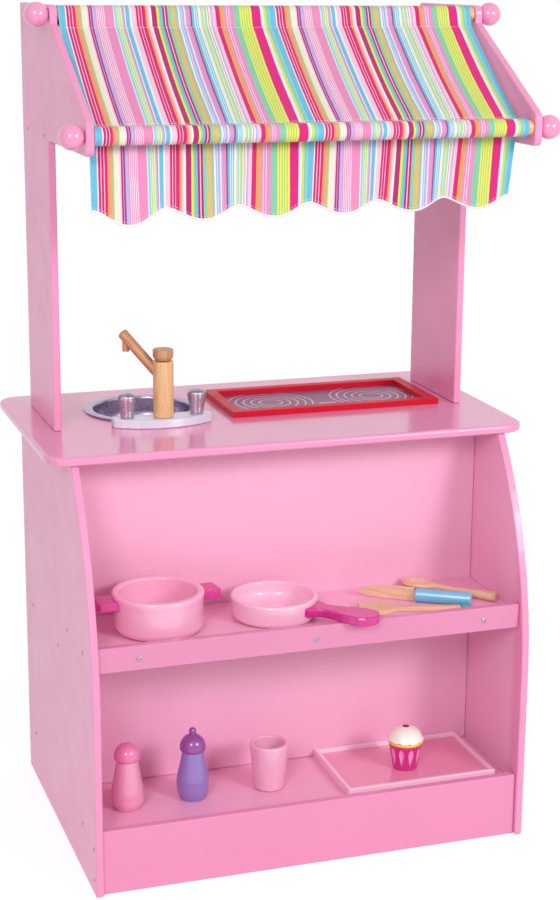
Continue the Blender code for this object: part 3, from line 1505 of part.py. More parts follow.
def shakers():
    salt_place = (SALT_X, at(SALT_SETBACK))
    pepper_place = (PEPPER_X, at(PEPPER_SETBACK))
    salt = shaker_body("salt_body", salt_place, SALT_BELLY_HEIGHT, (0.85, 0.42, 0.60))
    cap = shaker_cap("salt_cap", salt_place, (0.70, 0.16, 0.42), False)
    carry(cap, salt)
    pepper = shaker_body("pepper_body", pepper_place, PEPPER_BELLY_HEIGHT, (0.33, 0.20, 0.55))
    carry(shaker_cap("pepper_cap", pepper_place, (0.28, 0.05, 0.38), True), pepper)
    top = ON_BOTTOM_SHELF + SHAKER_BODY_HEIGHT + SHAKER_CAP_HEIGHT
    ring = SALT_HOLE_RING_RADIUS
    fall = SHAKER_CAP_HEIGHT * 0.78 * (1.0 - math.sqrt(1.0 - (ring / SHAKER_CAP_RADIUS) ** 2))
    for k in range(SALT_HOLE_COUNT):
        a = 2.0 * math.pi * k / SALT_HOLE_COUNT
        x = salt_place[0] + ring * math.cos(a)
        y = salt_place[1] + ring * math.sin(a)
        low = (x, y, top - fall - SALT_HOLE_DEPTH)
        high = (x, y, top + CUT_PAST)
        cut_round(cap, "salt_hole_" + str(k + 1), SALT_HOLE_RADIUS, low, high, 8)


def cup():
    rim = CUP_RIM_RADIUS
    base = CUP_BASE_RADIUS
    wall = CUP_WALL
    high = CUP_HEIGHT
    edge = CUP_RIM_ROUND
    foot = CUP_FOOT_ROUND
    profile = [
        (0.0, CUP_FLOOR),
        (base - wall - foot, CUP_FLOOR),
        (base - wall, CUP_FLOOR + foot),
        *arc((rim - wall + edge, high - edge), edge, 180.0, 90.0, 3),
        *arc((rim - edge, high - edge), edge, 90.0, 0.0, 3),
        *arc((base - foot, foot), foot, 0.0, -90.0, 3),
        (0.0, 0.0),
    ]
    return turned("cup", profile, (CUP_X, at(CUP_SETBACK), ON_BOTTOM_SHELF), LIGHT_PINK, 0.3)


def tray():
    """Raised frame with a rebate that the base panel lies in."""
    centre = (TRAY_CENTRE_X, at(TRAY_CENTRE_SETBACK))
    half_width = TRAY_WIDTH / 2.0
    half_depth = TRAY_DEPTH / 2.0
    floor = ON_BOTTOM_SHELF
    rebate = floor + TRAY_REBATE_HEIGHT
    inner = TRAY_FRAME_WIDTH
    foot = inner + TRAY_REBATE_WIDTH
    edge = TRAY_FRAME_ROUND
    top = floor + TRAY_FRAME_HEIGHT
    profile = [
        (0.0, floor),
        (0.0, top - edge),
        (edge * 0.3, top - edge * 0.3),
        (edge, top),
        (inner - edge, top),
        (inner - edge * 0.3, top - edge * 0.3),
        (inner, top - edge),
        (inner, rebate),
        (foot, rebate),
        (foot, floor),
    ]
    mesh = mitred_frame_mesh("tray_frame", centre, half_width, half_depth, profile)
    frame = add_object("tray_frame", mesh, LIGHT_PINK, 0.3)
    a = half_width - inner - GAP
    b = half_depth - inner - GAP
    low = (centre[0] - a, centre[1] - b, rebate + GAP)
    high = (centre[0] + a, centre[1] + b, rebate + GAP + TRAY_BASE_THICKNESS)
    base = add_object("tray_base", box_mesh("tray_base", low, high), (0.78, 0.28, 0.45), 0.3)
    carry(base, frame)


def cupcake():
    """Case with hollow flutes, iced top with a band, and a cherry let into it."""
    seat = ON_BOTTOM_SHELF + TRAY_REBATE_HEIGHT + GAP + TRAY_BASE_THICKNESS + GAP
    x = CAKE_X
    y = at(CAKE_SETBACK)
    low = CAKE_CASE_BASE_RADIUS
    high = CAKE_CASE_HEIGHT
    wide = CAKE_CASE_TOP_RADIUS
    edge = CAKE_EDGE_ROUND
    peg = CAKE_PEG_RADIUS + GAP
    socket = high - CAKE_PEG_LENGTH - GAP
    case_profile = [
        (0.0, socket),
        (peg, socket),
        (peg, high),
        (wide - edge, high),
        (wide, high - edge),
        (low, edge),
        (low - edge, 0.0),
        (0.0, 0.0),
    ]
    case = turned("cupcake_case", case_profile, (x, y, seat), MAGENTA, 0.4)
    for k in range(CAKE_FLUTE_COUNT):
        a = 2.0 * math.pi * (k + 0.5) / CAKE_FLUTE_COUNT
        out = Vector((math.cos(a), math.sin(a), 0.0))
        ends = []
        for t in (0.20, 0.86):
            radius = low + (wide - low) * t + CAKE_FLUTE_INSET
            ends.append(Vector((x, y, seat + high * t)) + out * radius)
        bottom, top = ends
        name = "case_flute_" + str(k + 1)
        mesh = cylinder_mesh(name, CAKE_FLUTE_RADIUS * 0.45, bottom, top, 6, CAKE_FLUTE_RADIUS)
        cut(case, cutter(name, mesh))

    band = CAKE_BAND_RADIUS
    dome = CAKE_DOME_RADIUS
    rise = CAKE_BAND_HEIGHT
    full = rise + CAKE_DOME_HEIGHT
    cherry = CHERRY_RADIUS + GAP
    dip = full - CHERRY_SINK - GAP
    shape = [(dome * math.cos(math.radians(a)), rise + CAKE_DOME_HEIGHT * math.sin(math.radians(a)))
             for a in (72.0, 56.0, 40.0, 24.0, 10.0)]
    top_profile = [
        (0.0, dip),
        (cherry, dip),
        (cherry, full - GAP),
        *shape,
        (dome, rise),
        (band, rise * 0.80),
        (band, rise * 0.25),
        (band - edge, 0.0),
        (CAKE_PEG_RADIUS, 0.0),
        (CAKE_PEG_RADIUS, -CAKE_PEG_LENGTH),
        (0.0, -CAKE_PEG_LENGTH),
    ]
    icing = turned("cupcake_icing", top_profile, (x, y, seat + high + GAP), (0.95, 0.93, 0.88))
    carry(icing, case)

    base = seat + high + GAP + dip + GAP
    r = CHERRY_RADIUS
    crown = CHERRY_HEIGHT
    edge = CHERRY_ROUND
    cherry_profile = [
        (0.0, crown),
        (r * 0.55, crown - edge * 0.35),
        (r - edge, crown - edge),
        (r, crown - 2.0 * edge),
        (r, 0.0),
        (0.0, 0.0),
    ]
    cherry_red = (0.60, 0.02, 0.08)
    fruit = turned("cupcake_cherry", cherry_profile, (x, y, base), cherry_red, 0.2, 0.0, PIN_STEPS)
    carry(fruit, case)


cabinet()
worktop()
upper_works()
awning_cloth()
sink_bowl()
tap_ledge()
standing_pins()
tap()
tap_knobs()
hob()
pot()
pan()
knife()
spoon()
turner()
shakers()
cup()
tray()
cupcake()
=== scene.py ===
"""Finishes for the wooden play kitchen: painted boards, beech tap, striped awning, hob print and light."""
import json
import math

import bmesh
import bpy
from mathutils import Matrix, Vector, noise

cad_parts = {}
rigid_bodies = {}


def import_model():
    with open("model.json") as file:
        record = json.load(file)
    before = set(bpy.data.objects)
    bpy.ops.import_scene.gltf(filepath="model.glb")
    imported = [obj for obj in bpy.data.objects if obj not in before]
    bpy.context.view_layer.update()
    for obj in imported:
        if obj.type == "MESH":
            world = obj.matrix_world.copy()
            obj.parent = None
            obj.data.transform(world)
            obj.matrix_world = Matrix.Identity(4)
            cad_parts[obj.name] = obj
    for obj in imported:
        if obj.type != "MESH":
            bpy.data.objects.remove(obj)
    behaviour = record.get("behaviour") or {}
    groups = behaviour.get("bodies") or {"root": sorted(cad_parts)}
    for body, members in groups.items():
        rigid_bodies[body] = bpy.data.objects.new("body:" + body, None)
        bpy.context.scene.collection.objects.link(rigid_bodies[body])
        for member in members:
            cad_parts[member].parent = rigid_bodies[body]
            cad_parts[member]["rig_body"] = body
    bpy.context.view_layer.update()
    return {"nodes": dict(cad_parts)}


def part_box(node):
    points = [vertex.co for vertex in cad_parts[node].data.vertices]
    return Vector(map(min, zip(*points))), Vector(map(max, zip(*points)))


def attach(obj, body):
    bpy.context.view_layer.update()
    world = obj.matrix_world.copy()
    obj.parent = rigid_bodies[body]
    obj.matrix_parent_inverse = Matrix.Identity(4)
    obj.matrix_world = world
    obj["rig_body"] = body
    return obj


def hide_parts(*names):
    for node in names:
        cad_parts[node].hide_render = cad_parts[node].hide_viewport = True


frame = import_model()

# Camera, from the fit to the photograph
CAMERA_PLACE = (-0.7673, -2.32965, 1.1558)
CAMERA_YAW = 18.6557
CAMERA_PITCH = 14.6285
CAMERA_ROLL = 0.4549
CAMERA_LENS = 73.80
CAMERA_SENSOR = 36.0

# Awning cloth
CLOTH_THICKNESS = 0.0010
CLOTH_ROD_CLEARANCE = 0.0006
CLOTH_LEFT_GAP = 0.0012
CLOTH_RIGHT_GAP = 0.0080
TOP_SEAM_FORWARD = 0.0160
TOP_SEAM_DROP = 0.0140
FRONT_SEAM_BACK = 0.0245
FRONT_SEAM_RISE = 0.0095
SEAM_FLAP = 0.0090
SLOPE_SAG = 0.0040
SLOPE_SWELL = 0.0015
VALANCE_DROP = 0.0990
SCALLOP_COUNT = 6
SCALLOP_DEPTH = 0.0150
FIRST_SCALLOP_SAG = 0.004
VALANCE_FOLD_DEPTH = 0.0050
VALANCE_LEFT_LEAN = -0.010
VALANCE_RIGHT_LEAN = 0.018
VALANCE_WAVE_SHIFT = 0.6
SCALLOP_ROUNDING = 0.86
STATIONS_PER_SCALLOP = 24
STRIPE_REPEAT_START = 0.0101
GATHERS_FADE_IN = 0.012
GATHER_DEPTH = 0.0011
GATHER_PITCH_MM = 9.0
GATHER_FADE_LENGTH = 0.022
RIPPLE_DEPTH = 0.0016
RIPPLE_PITCH_MM = 34.0
FOLD_TURN = (-0.0012, -0.0022)
FOLD_START_DROP = 0.0030
ROD_LOOP_STEPS = 26
SLOPE_STEPS = 40
VALANCE_STEPS = 34

# Stitches and hem edging
STITCH_PITCH = 0.0042
STITCH_LENGTH = 0.0030
STITCH_RADIUS = 0.00028
HEM_STITCH_RISE = 0.0048
TOP_STITCH_BELOW_SEAM = 0.0035
FRONT_STITCH_ABOVE_SEAM = 0.0025
EDGING_STAND_OFF = 0.00035

# Fits between turned pieces, as in the part's source
FIT_GAP = 0.0003
ROD_SPIGOT_RADIUS = 0.004
SHAKER_PEG_RADIUS = 0.0060
SHAKER_PEG_LENGTH = 0.0080
CAKE_PEG_RADIUS = 0.0050
CAKE_PEG_LENGTH = 0.0060
TAP_SPINDLE_RADIUS = 0.0045

# Holes of the salt cap, and the hollows and lobes of the cake
SALT_HOLE_COUNT = 6
SALT_HOLE_RADIUS = 0.0009
SALT_HOLE_RING_RADIUS = 0.0075
FLUTE_COUNT = 10
ICING_LOBE_COUNT = 11

# Screw heads in the boards' outer faces: setback and height of each
SCREW_HEAD_RADIUS = 0.0032
PANEL_SCREWS = (
    (-0.16925, 0.3145), (-0.07925, 0.3145), (-0.01425, 0.2695), (0.15575, 0.2695),
    (-0.14925, 0.070), (0.15875, 0.070), (-0.21325, 0.063), (-0.21325, 0.021),
)
UPPER_BOARD_SCREWS = ((0.03475, 0.9465), (0.13875, 0.9465))

# Colours as written on a paint card, in sRGB from 0 to 255; a few entries carry painted shade, sheen or
# highlight, as marked beside them
PAINT_CARD = {
    "board pink": (239, 150, 192),
    # Darker copies of the board pink for the kick board and rail: painted shade
    "kick painted shade pink": (234, 144, 186),
    "rail painted shade pink": (224, 138, 178),
    # Paler copy of the board pink inside the cabinet: painted sheen
    "inside sheen pink": (243, 178, 209),
    "turned pink": (246, 178, 208),
    "pan pink": (250, 194, 219),
    # Light pink of the tray rims, lifted towards white: partly painted highlight
    "tray rim highlight pink": (253, 208, 229),
    "handle magenta": (212, 42, 140),
    "hob red": (206, 6, 44),
    "hob grey": (146, 101, 137),
    "hob ring": (232, 204, 220),
    "silver": (228, 228, 242),
    "sink silver": (176, 164, 190),
    "knob silver": (190, 178, 196),
    "screw silver": (168, 160, 172),
    "beech light": (238, 200, 150),
    "beech dark": (220, 170, 118),
    "spout beech light": (218, 164, 120),
    "spout beech dark": (184, 128, 88),
    "pale wood light": (242, 208, 178),
    "pale wood dark": (226, 178, 142),
    "light blue": (120, 196, 232),
    "teal": (60, 160, 168),
    "salt pink": (240, 158, 192),
    "salt cap pink": (234, 128, 178),
    "purple": (150, 124, 196),
    "dark purple": (148, 78, 156),
    "tray pink": (236, 150, 184),
    "icing": (250, 246, 236),
    "icing band": (250, 214, 44),
    "cherry": (140, 16, 36),
    "drop pink": (250, 156, 204),
    "band orange": (222, 140, 50),
}

# Dyes of the woven stripes
DYES = {
    "magenta": (212, 26, 112),
    "hot magenta": (220, 22, 122),
    "dark magenta": (178, 34, 108),
    "purple": (136, 62, 138),
    "orange": (238, 154, 80),
    "tan": (206, 164, 150),
    "cream": (228, 230, 196),
    "blush": (240, 196, 216),
    "white": (238, 230, 240),
    "lavender": (190, 172, 222),
    "mauve": (196, 160, 216),
    "rose": (230, 138, 184),
    "cyan": (132, 206, 212),
    "sky": (106, 186, 218),
    "teal": (92, 184, 200),
    "mint": (128, 200, 172),
    "leaf": (160, 202, 112),
    "lime": (204, 220, 104),
    "yellow": (228, 228, 96),
    "ochre": (232, 180, 96),
}

# One repeat of the cloth across its width: dye and width in millimetres
STRIPES = [
    ("magenta", 2.9), ("blush", 1.0), ("magenta", 2.9), ("blush", 1.0), ("magenta", 3.4),
    ("orange", 3.3), ("tan", 2.0), ("leaf", 1.0), ("tan", 1.3), ("cream", 5.4),
    ("white", 1.7), ("blush", 1.9),
    ("dark magenta", 2.0), ("rose", 1.0), ("purple", 2.0), ("lavender", 3.9),
    ("rose", 1.3), ("white", 0.9), ("rose", 1.4), ("white", 0.9), ("rose", 1.4),
    ("white", 0.9), ("rose", 1.4), ("white", 0.9), ("rose", 1.4), ("white", 0.9),
    ("rose", 11.5),
    ("white", 1.2), ("cyan", 2.7), ("white", 0.8), ("leaf", 1.3), ("white", 0.9), ("lime", 2.6),
    ("white", 0.8), ("cyan", 1.5), ("rose", 2.2),
    ("white", 1.4), ("sky", 5.1), ("white", 2.4), ("blush", 6.2),
    ("magenta", 2.8), ("blush", 0.9), ("magenta", 2.8), ("blush", 0.9), ("magenta", 4.6),
    ("orange", 2.7), ("blush", 2.6), ("white", 2.6), ("dark magenta", 6.5), ("yellow", 2.5),
    ("leaf", 1.8), ("sky", 3.5), ("dark magenta", 2.6), ("blush", 1.2), ("dark magenta", 2.7),
    ("mint", 2.2), ("leaf", 0.9), ("mint", 1.6), ("ochre", 1.2), ("mint", 0.8), ("ochre", 3.4),
    ("tan", 0.9), ("mint", 2.7),
    ("white", 2.2), ("lavender", 1.8), ("white", 0.8), ("sky", 1.1), ("lavender", 2.0), ("white", 1.5),
    ("mauve", 2.4), ("rose", 4.0),
    ("purple", 1.9), ("sky", 3.2), ("white", 0.9), ("cyan", 2.2), ("white", 0.8), ("sky", 1.4),
    ("white", 3.3),
    ("lime", 2.0), ("cyan", 1.4), ("white", 0.8), ("lime", 2.0), ("cyan", 1.8),
    ("white", 1.6), ("orange", 1.4), ("white", 2.2), ("lavender", 2.4), ("blush", 4.3),
    ("magenta", 5.9), ("ochre", 0.8), ("orange", 3.4), ("tan", 1.8),
    ("rose", 2.4), ("white", 0.9), ("rose", 2.4), ("white", 0.9), ("rose", 2.0),
    ("mauve", 0.9), ("rose", 2.5),
    ("mint", 3.4), ("leaf", 0.9), ("mint", 3.7),
    ("yellow", 2.2), ("leaf", 1.1), ("yellow", 2.2), ("leaf", 1.1), ("yellow", 2.2),
    ("leaf", 1.1), ("yellow", 2.2), ("leaf", 1.1), ("yellow", 2.9),
    ("hot magenta", 12.1), ("white", 4.0), ("lime", 3.6), ("mint", 2.4), ("cyan", 2.8),
    ("sky", 7.2), ("white", 1.6),
]

# Peel scale and width of the painted edge highlight in the paint of small pieces
FINE_PAINT = (600.0, 0.0012)

# Where the paler pink inside the cabinet, a painted sheen, begins and ends, each as a narrow fade
INSIDE_WIDTH_FADE = (0.2905, 0.2915)
INSIDE_DEPTH_FADE = (-0.205, -0.190)
INSIDE_HEIGHT_FADE = (0.5490, 0.5480)

# Hob print
HOB_RINGS = (0.0165, 0.0280, 0.0390, 0.0500, 0.0600)
HOB_RING_WIDTH = 0.0022
HOB_CENTRES = ((0.0353, 0.0905), (0.1879, 0.0905))
HOB_BAR_CENTRE = (0.1116, 0.0662, 0.0)
HOB_BAR_HALF_SIZE = (0.0125, 0.0025, 0.0)


def linear(card):
    """Turns a colour written from 0 to 255 into the linear values that a shader takes."""
    values = []
    for part in card:
        share = part / 255.0
        values.append(share / 12.92 if share <= 0.04045 else ((share + 0.055) / 1.055) ** 2.4)
    return (*values, 1.0)


def toned(colour, share):
    return (*[min(1.0, part * share) for part in colour[:3]], 1.0)


# Node benches


class Bench:
    """Adds nodes to one tree and joins them."""

    def __init__(self, tree):
        self.tree = tree

    def add(self, kind, **settings):
        made = self.tree.nodes.new(kind)
        for key, value in settings.items():
            setattr(made, key, value)
        return made

    def feed(self, socket, source):
        if isinstance(source, bpy.types.NodeSocket):
            self.tree.links.new(source, socket)
        elif source is not None:
            socket.default_value = source

    def fill(self, node, *sources):
        """Feeds a node's inputs in their order."""
        for socket, source in zip(node.inputs, sources):
            self.feed(socket, source)
        return node.outputs[0]

    def dress(self, node, **sources):
        """Feeds a node's inputs by their names."""
        for key, source in sources.items():
            self.feed(node.inputs[key.replace("_", " ")], source)
        return node.outputs[0]

    def math(self, operation, *sources, clamp=False):
        return self.fill(self.add("ShaderNodeMath", operation=operation, use_clamp=clamp), *sources)

    def vector(self, operation, first, second=None):
        made = self.add("ShaderNodeVectorMath", operation=operation)
        self.fill(made, first, second)
        return made.outputs["Value" if operation in ("DOT_PRODUCT", "LENGTH") else "Vector"]

    def mix(self, share, first, second, blend="MIX"):
        made = self.add("ShaderNodeMix", data_type="RGBA", blend_type=blend)
        self.feed(made.inputs[0], share)
        self.feed(made.inputs[6], first)
        self.feed(made.inputs[7], second)
        return made.outputs[2]

    def spread(self, value, from_low, from_high, to_low=0.0, to_high=1.0, kind="LINEAR"):
        made = self.add("ShaderNodeMapRange", interpolation_type=kind)
        return self.fill(made, value, from_low, from_high, to_low, to_high)

    def noise(self, where, scale, detail=2.0, roughness=0.5, distortion=0.0):
        made = self.add("ShaderNodeTexNoise")
        self.dress(made, Vector=where, Scale=scale, Detail=detail, Roughness=roughness, Distortion=distortion)
        return made.outputs[0]

    def turned_to(self, where, turn=(0.0, 0.0, 0.0), scale=(1.0, 1.0, 1.0)):
        return self.dress(self.add("ShaderNodeMapping"), Vector=where, Rotation=turn, Scale=scale)

    def use(self, group, **values):
        made = self.add("ShaderNodeGroup", node_tree=group)
        self.dress(made, **values)
        return made.outputs

    def bump(self, height, strength, distance):
        return self.dress(self.add("ShaderNodeBump"), Strength=strength, Distance=distance, Height=height)

    def parts(self, source):
        """X, Y and Z of a vector."""
        made = self.add("ShaderNodeSeparateXYZ")
        self.feed(made.inputs[0], source)
        return made.outputs

    def glow(self, strength):
        return self.dress(self.add("ShaderNodeEmission"), Strength=strength)

    def mix_shaders(self, share, first, second):
        return self.fill(self.add("ShaderNodeMixShader"), share, first, second)

    def here(self):
        """The place on the piece, in metres."""
        return self.add("ShaderNodeTexCoord").outputs["Object"]


def new_group(name, inputs, outputs):
    """A shader node group with named sockets; returns its tree, bench, entry and exit."""
    tree = bpy.data.node_groups.new(name, "ShaderNodeTree")
    for label, kind, value in inputs:
        socket = tree.interface.new_socket(name=label, in_out="INPUT", socket_type="NodeSocket" + kind)
        if value is not None:
            socket.default_value = value
    for label, kind in outputs:
        tree.interface.new_socket(name=label, in_out="OUTPUT", socket_type="NodeSocket" + kind)
    bench = Bench(tree)
    return tree, bench, bench.add("NodeGroupInput").outputs, bench.add("NodeGroupOutput").inputs


def make_paint_skin():
    """Sprayed paint: fine orange peel, faint clouds in the colour and hazy patches in the gloss."""
    inputs = [("Vector", "Vector", None), ("Peel Scale", "Float", 420.0), ("Cloud Scale", "Float", 7.0)]
    outputs = [("Height", "Float"), ("Cloud", "Float"), ("Haze", "Float")]
    tree, bench, entry, leave = new_group("sprayed_paint_skin", inputs, outputs)
    peel = bench.noise(entry["Vector"], entry["Peel Scale"], 2.0, 0.45)
    broad = bench.noise(entry["Vector"], bench.math("MULTIPLY", entry["Peel Scale"], 0.22), 1.0, 0.4)
    bench.feed(leave["Height"], bench.math("MULTIPLY_ADD", broad, 0.6, bench.math("MULTIPLY", peel, 0.4)))
    bench.feed(leave["Cloud"], bench.noise(entry["Vector"], entry["Cloud Scale"], 3.0, 0.55))
    haze = bench.noise(entry["Vector"], bench.math("MULTIPLY", entry["Cloud Scale"], 3.1), 4.0, 0.6, 0.4)
    bench.feed(leave["Haze"], bench.spread(haze, 0.35, 0.75))
    return tree


def make_painted_edge_highlight():
    """Edges painted a little paler, a painted highlight where the light catches them, broken up by noise."""
    inputs = [("Vector", "Vector", None), ("Width", "Float", 0.002)]
    tree, bench, entry, leave = new_group("painted_edge_highlight", inputs, [("Mask", "Float")])
    round_normal = bench.add("ShaderNodeBevel", samples=4)
    bench.feed(round_normal.inputs["Radius"], entry["Width"])
    true_normal = bench.add("ShaderNodeNewGeometry").outputs["Normal"]
    turn = bench.vector("DOT_PRODUCT", round_normal.outputs[0], true_normal)
    edge = bench.spread(turn, 0.995, 0.90)
    broken = bench.spread(bench.noise(entry["Vector"], 55.0, 4.0, 0.6), 0.35, 0.62, 0.25, 1.0)
    bench.feed(leave["Mask"], bench.math("MULTIPLY", edge, broken, clamp=True))
    return tree


def make_wood_figure():
    """Beech and other pale woods: growth bands, long streaks and short dark flecks along Z."""
    inputs = [("Vector", "Vector", None), ("Band Scale", "Float", 90.0), ("Fleck Scale", "Float", 900.0)]
    outputs = [("Figure", "Float"), ("Fleck", "Float"), ("Height", "Float")]
    tree, bench, entry, leave = new_group("pale_wood_figure", inputs, outputs)
    drawn_out = bench.turned_to(entry["Vector"], scale=(1.0, 1.0, 0.10))
    wander = bench.noise(drawn_out, bench.math("MULTIPLY", entry["Band Scale"], 0.55), 3.0, 0.55, 0.6)
    streak = bench.turned_to(entry["Vector"], scale=(1.0, 1.0, 0.03))
    fine = bench.noise(streak, bench.math("MULTIPLY", entry["Band Scale"], 6.5), 4.0, 0.6)
    bands = bench.math("SINE", bench.math("MULTIPLY", wander, 34.0))
    figure = bench.math("MULTIPLY_ADD", bands, 0.28, 0.28)
    bench.feed(leave["Figure"], bench.math("MULTIPLY_ADD", fine, 0.6, figure, clamp=True))
    dash = bench.turned_to(entry["Vector"], scale=(1.0, 1.0, 0.12))
    cells = bench.add("ShaderNodeTexVoronoi", feature="F1")
    bench.dress(cells, Vector=dash, Scale=entry["Fleck Scale"])
    fleck = bench.spread(cells.outputs["Distance"], 0.16, 0.30, 1.0, 0.0)
    bench.feed(leave["Fleck"], fleck)
    bench.feed(leave["Height"], bench.math("MULTIPLY_ADD", fleck, -0.6, fine))
    return tree


def make_plain_weave():
    """Plain weave of warp and weft threads from the cloth's own coordinates in metres."""
    inputs = [("Vector", "Vector", None), ("Thread Pitch", "Float", 0.0008)]
    outputs = [("Height", "Float"), ("Slub", "Float")]
    tree, bench, entry, leave = new_group("plain_weave", inputs, outputs)
    parts = bench.parts(entry["Vector"])
    turn = bench.math("DIVIDE", math.pi, entry["Thread Pitch"])
    across = bench.math("SINE", bench.math("MULTIPLY", parts[0], turn))
    along = bench.math("SINE", bench.math("MULTIPLY", parts[1], turn))
    bench.feed(leave["Height"], bench.math("MULTIPLY_ADD", bench.math("MULTIPLY", across, along), 0.5, 0.5))
    drawn = bench.turned_to(entry["Vector"], scale=(1.0, 0.06, 1.0))
    bench.feed(leave["Slub"], bench.noise(drawn, 900.0, 2.0, 0.6))
    return tree


def make_stripe_plan():
    """The woven stripes: the colour at a distance across the cloth, in metres."""
    tree, bench, entry, leave = new_group("awning_stripes", [("Across", "Float", 0.0)], [("Color", "Color")])
    total = sum(width for dye, width in STRIPES) / 1000.0
    place = bench.math("SUBTRACT", entry["Across"], STRIPE_REPEAT_START)
    share = bench.math("FRACT", bench.math("DIVIDE", place, total))
    stops = []
    run = 0.0
    for dye, width in STRIPES:
        stops.append((run / 1000.0 / total, dye))
        run += width
    colour = None
    for first in range(0, len(stops), 16):
        part = stops[first : first + 16]
        start = part[0][0]
        end = stops[first + 16][0] if first + 16 < len(stops) else 1.0
        ramp = bench.add("ShaderNodeValToRGB")
        ramp.color_ramp.interpolation = "CONSTANT"
        elements = ramp.color_ramp.elements
        while len(elements) > 1:
            elements.remove(elements[-1])
        elements[0].position = 0.0
        elements[0].color = linear(DYES[part[0][1]])
        for position, dye in part[1:]:
            elements.new((position - start) / (end - start)).color = linear(DYES[dye])
        bench.feed(ramp.inputs[0], bench.spread(share, start, end))
        if colour is None:
            colour = ramp.outputs[0]
        else:
            later = bench.math("GREATER_THAN", share, start)
            colour = bench.mix(later, colour, ramp.outputs[0])
    bench.feed(leave["Color"], colour)
    return tree


def make_printed_rings():
    """Rings printed round a centre."""
    inputs = [("Vector", "Vector", None), ("Centre", "Vector", (0.0, 0.0, 0.0))]
    tree, bench, entry, leave = new_group("printed_rings", inputs, [("Mask", "Float")])
    away = bench.vector("SUBTRACT", entry["Vector"], entry["Centre"])
    flat = bench.vector("MULTIPLY", away, (1.0, 1.0, 0.0))
    distance = bench.vector("LENGTH", flat)
    mask = 0.0
    half = HOB_RING_WIDTH / 2.0
    for radius in HOB_RINGS:
        off = bench.math("ABSOLUTE", bench.math("SUBTRACT", distance, radius))
        mask = bench.math("ADD", mask, bench.spread(off, half * 0.75, half * 1.15, 1.0, 0.0))
    bench.feed(leave["Mask"], bench.math("MINIMUM", mask, 1.0))
    return tree


PAINT_SKIN = make_paint_skin()
PAINTED_EDGE_HIGHLIGHT = make_painted_edge_highlight()
WOOD_FIGURE = make_wood_figure()
PLAIN_WEAVE = make_plain_weave()
STRIPE_PLAN = make_stripe_plan()
PRINTED_RINGS = make_printed_rings()


# Finishes


def new_finish(name, roughness, metallic=0.0, coat=0.0, coat_roughness=0.1):
    made = bpy.data.materials.new(name)
    made.use_nodes = True
    shader = made.node_tree.nodes["Principled BSDF"]
    bench = Bench(made.node_tree)
    bench.dress(shader, Roughness=roughness, Metallic=metallic)
    bench.dress(shader, Coat_Weight=coat, Coat_Roughness=coat_roughness)
    return made, bench, shader


def clouds(bench, skin, colour, low=0.955, high=1.035):
    return bench.mix(skin["Cloud"], toned(colour, low), toned(colour, high))


def painted(name, colour, roughness=0.32, coat=0.25, edge=0.30, peel=420.0, width=0.0022, inside_sheen=None):
    """Painted wood: a clouded colour with orange peel under a thin gloss, paler at the edges as a painted
    highlight, and a paler pink inside the cabinet as painted sheen where that colour is given.
    """
    made, bench, shader = new_finish(name, roughness, 0.0, coat, 0.12)
    here = bench.here()
    skin = bench.use(PAINT_SKIN, Vector=here, Peel_Scale=peel)
    edge_highlight_mask = bench.use(PAINTED_EDGE_HIGHLIGHT, Vector=here, Width=width)["Mask"]
    clouded = clouds(bench, skin, colour)
    # Paler pink inside the cabinet: painted sheen
    if inside_sheen is not None:
        clouded = bench.mix(inside_sheen_mask(bench, here), clouded, clouds(bench, skin, inside_sheen))
    # Colour lifted towards white at the edges: painted highlight
    pale = toned(tuple(part + (1.0 - part) * 0.35 for part in colour[:3]), 1.0)
    highlit_colour = bench.mix(bench.math("MULTIPLY", edge_highlight_mask, edge), clouded, pale)
    hazy = bench.math("MULTIPLY_ADD", skin["Haze"], 0.10, roughness - 0.04)
    bench.dress(shader, Base_Color=highlit_colour, Roughness=hazy, Normal=bench.bump(skin["Height"], 0.12, 0.0003))
    return made


def inside_sheen_mask(bench, here):
    """1 inside the cabinet, whose faces look paler than the outside in the photograph: a paler pink there,
    painted sheen.
    """
    parts = bench.parts(here)
    across = bench.spread(bench.math("ABSOLUTE", parts[0]), *INSIDE_WIDTH_FADE, 1.0, 0.0)
    deep = bench.spread(parts[1], *INSIDE_DEPTH_FADE)
    low = bench.spread(parts[2], *INSIDE_HEIGHT_FADE)
    return bench.math("MULTIPLY", bench.math("MULTIPLY", across, deep), low)


def clear_wood(name, light, dark, axis=(0.0, 0.0, 1.0), roughness=0.42, coat=0.15, band=90.0):
    """Clear-coated wood whose grain runs along an axis."""
    made, bench, shader = new_finish(name, roughness, 0.0, coat, 0.2)
    turn = Vector(axis).rotation_difference(Vector((0.0, 0.0, 1.0))).to_euler()
    along = bench.turned_to(bench.here(), turn=turn)
    wood = bench.use(WOOD_FIGURE, Vector=along, Band_Scale=band)
    body = bench.mix(wood["Figure"], light, dark)
    flecked = bench.mix(bench.math("MULTIPLY", wood["Fleck"], 0.35), body, toned(dark, 0.55))
    satin = bench.math("MULTIPLY_ADD", wood["Figure"], 0.12, roughness - 0.05)
    bench.dress(shader, Base_Color=flecked, Roughness=satin, Normal=bench.bump(wood["Height"], 0.18, 0.0002))
    return made


def brushed_metal(name, colour, roughness=0.28, metallic=0.9):
    """Satin metal or metal paint with fine brush marks and hazy patches."""
    made, bench, shader = new_finish(name, roughness, metallic)
    here = bench.here()
    skin = bench.use(PAINT_SKIN, Vector=here, Peel_Scale=900.0, Cloud_Scale=18.0)
    marks = bench.noise(bench.turned_to(here, scale=(1.0, 0.05, 1.0)), 1600.0, 3.0, 0.6)
    shaded = clouds(bench, skin, colour, 0.90, 1.04)
    hazy = bench.math("MULTIPLY_ADD", skin["Haze"], 0.16, roughness - 0.05)
    bench.dress(shader, Base_Color=shaded, Roughness=hazy, Normal=bench.bump(marks, 0.06, 0.0002))
    return made


def card(word):
    return linear(PAINT_CARD[word])


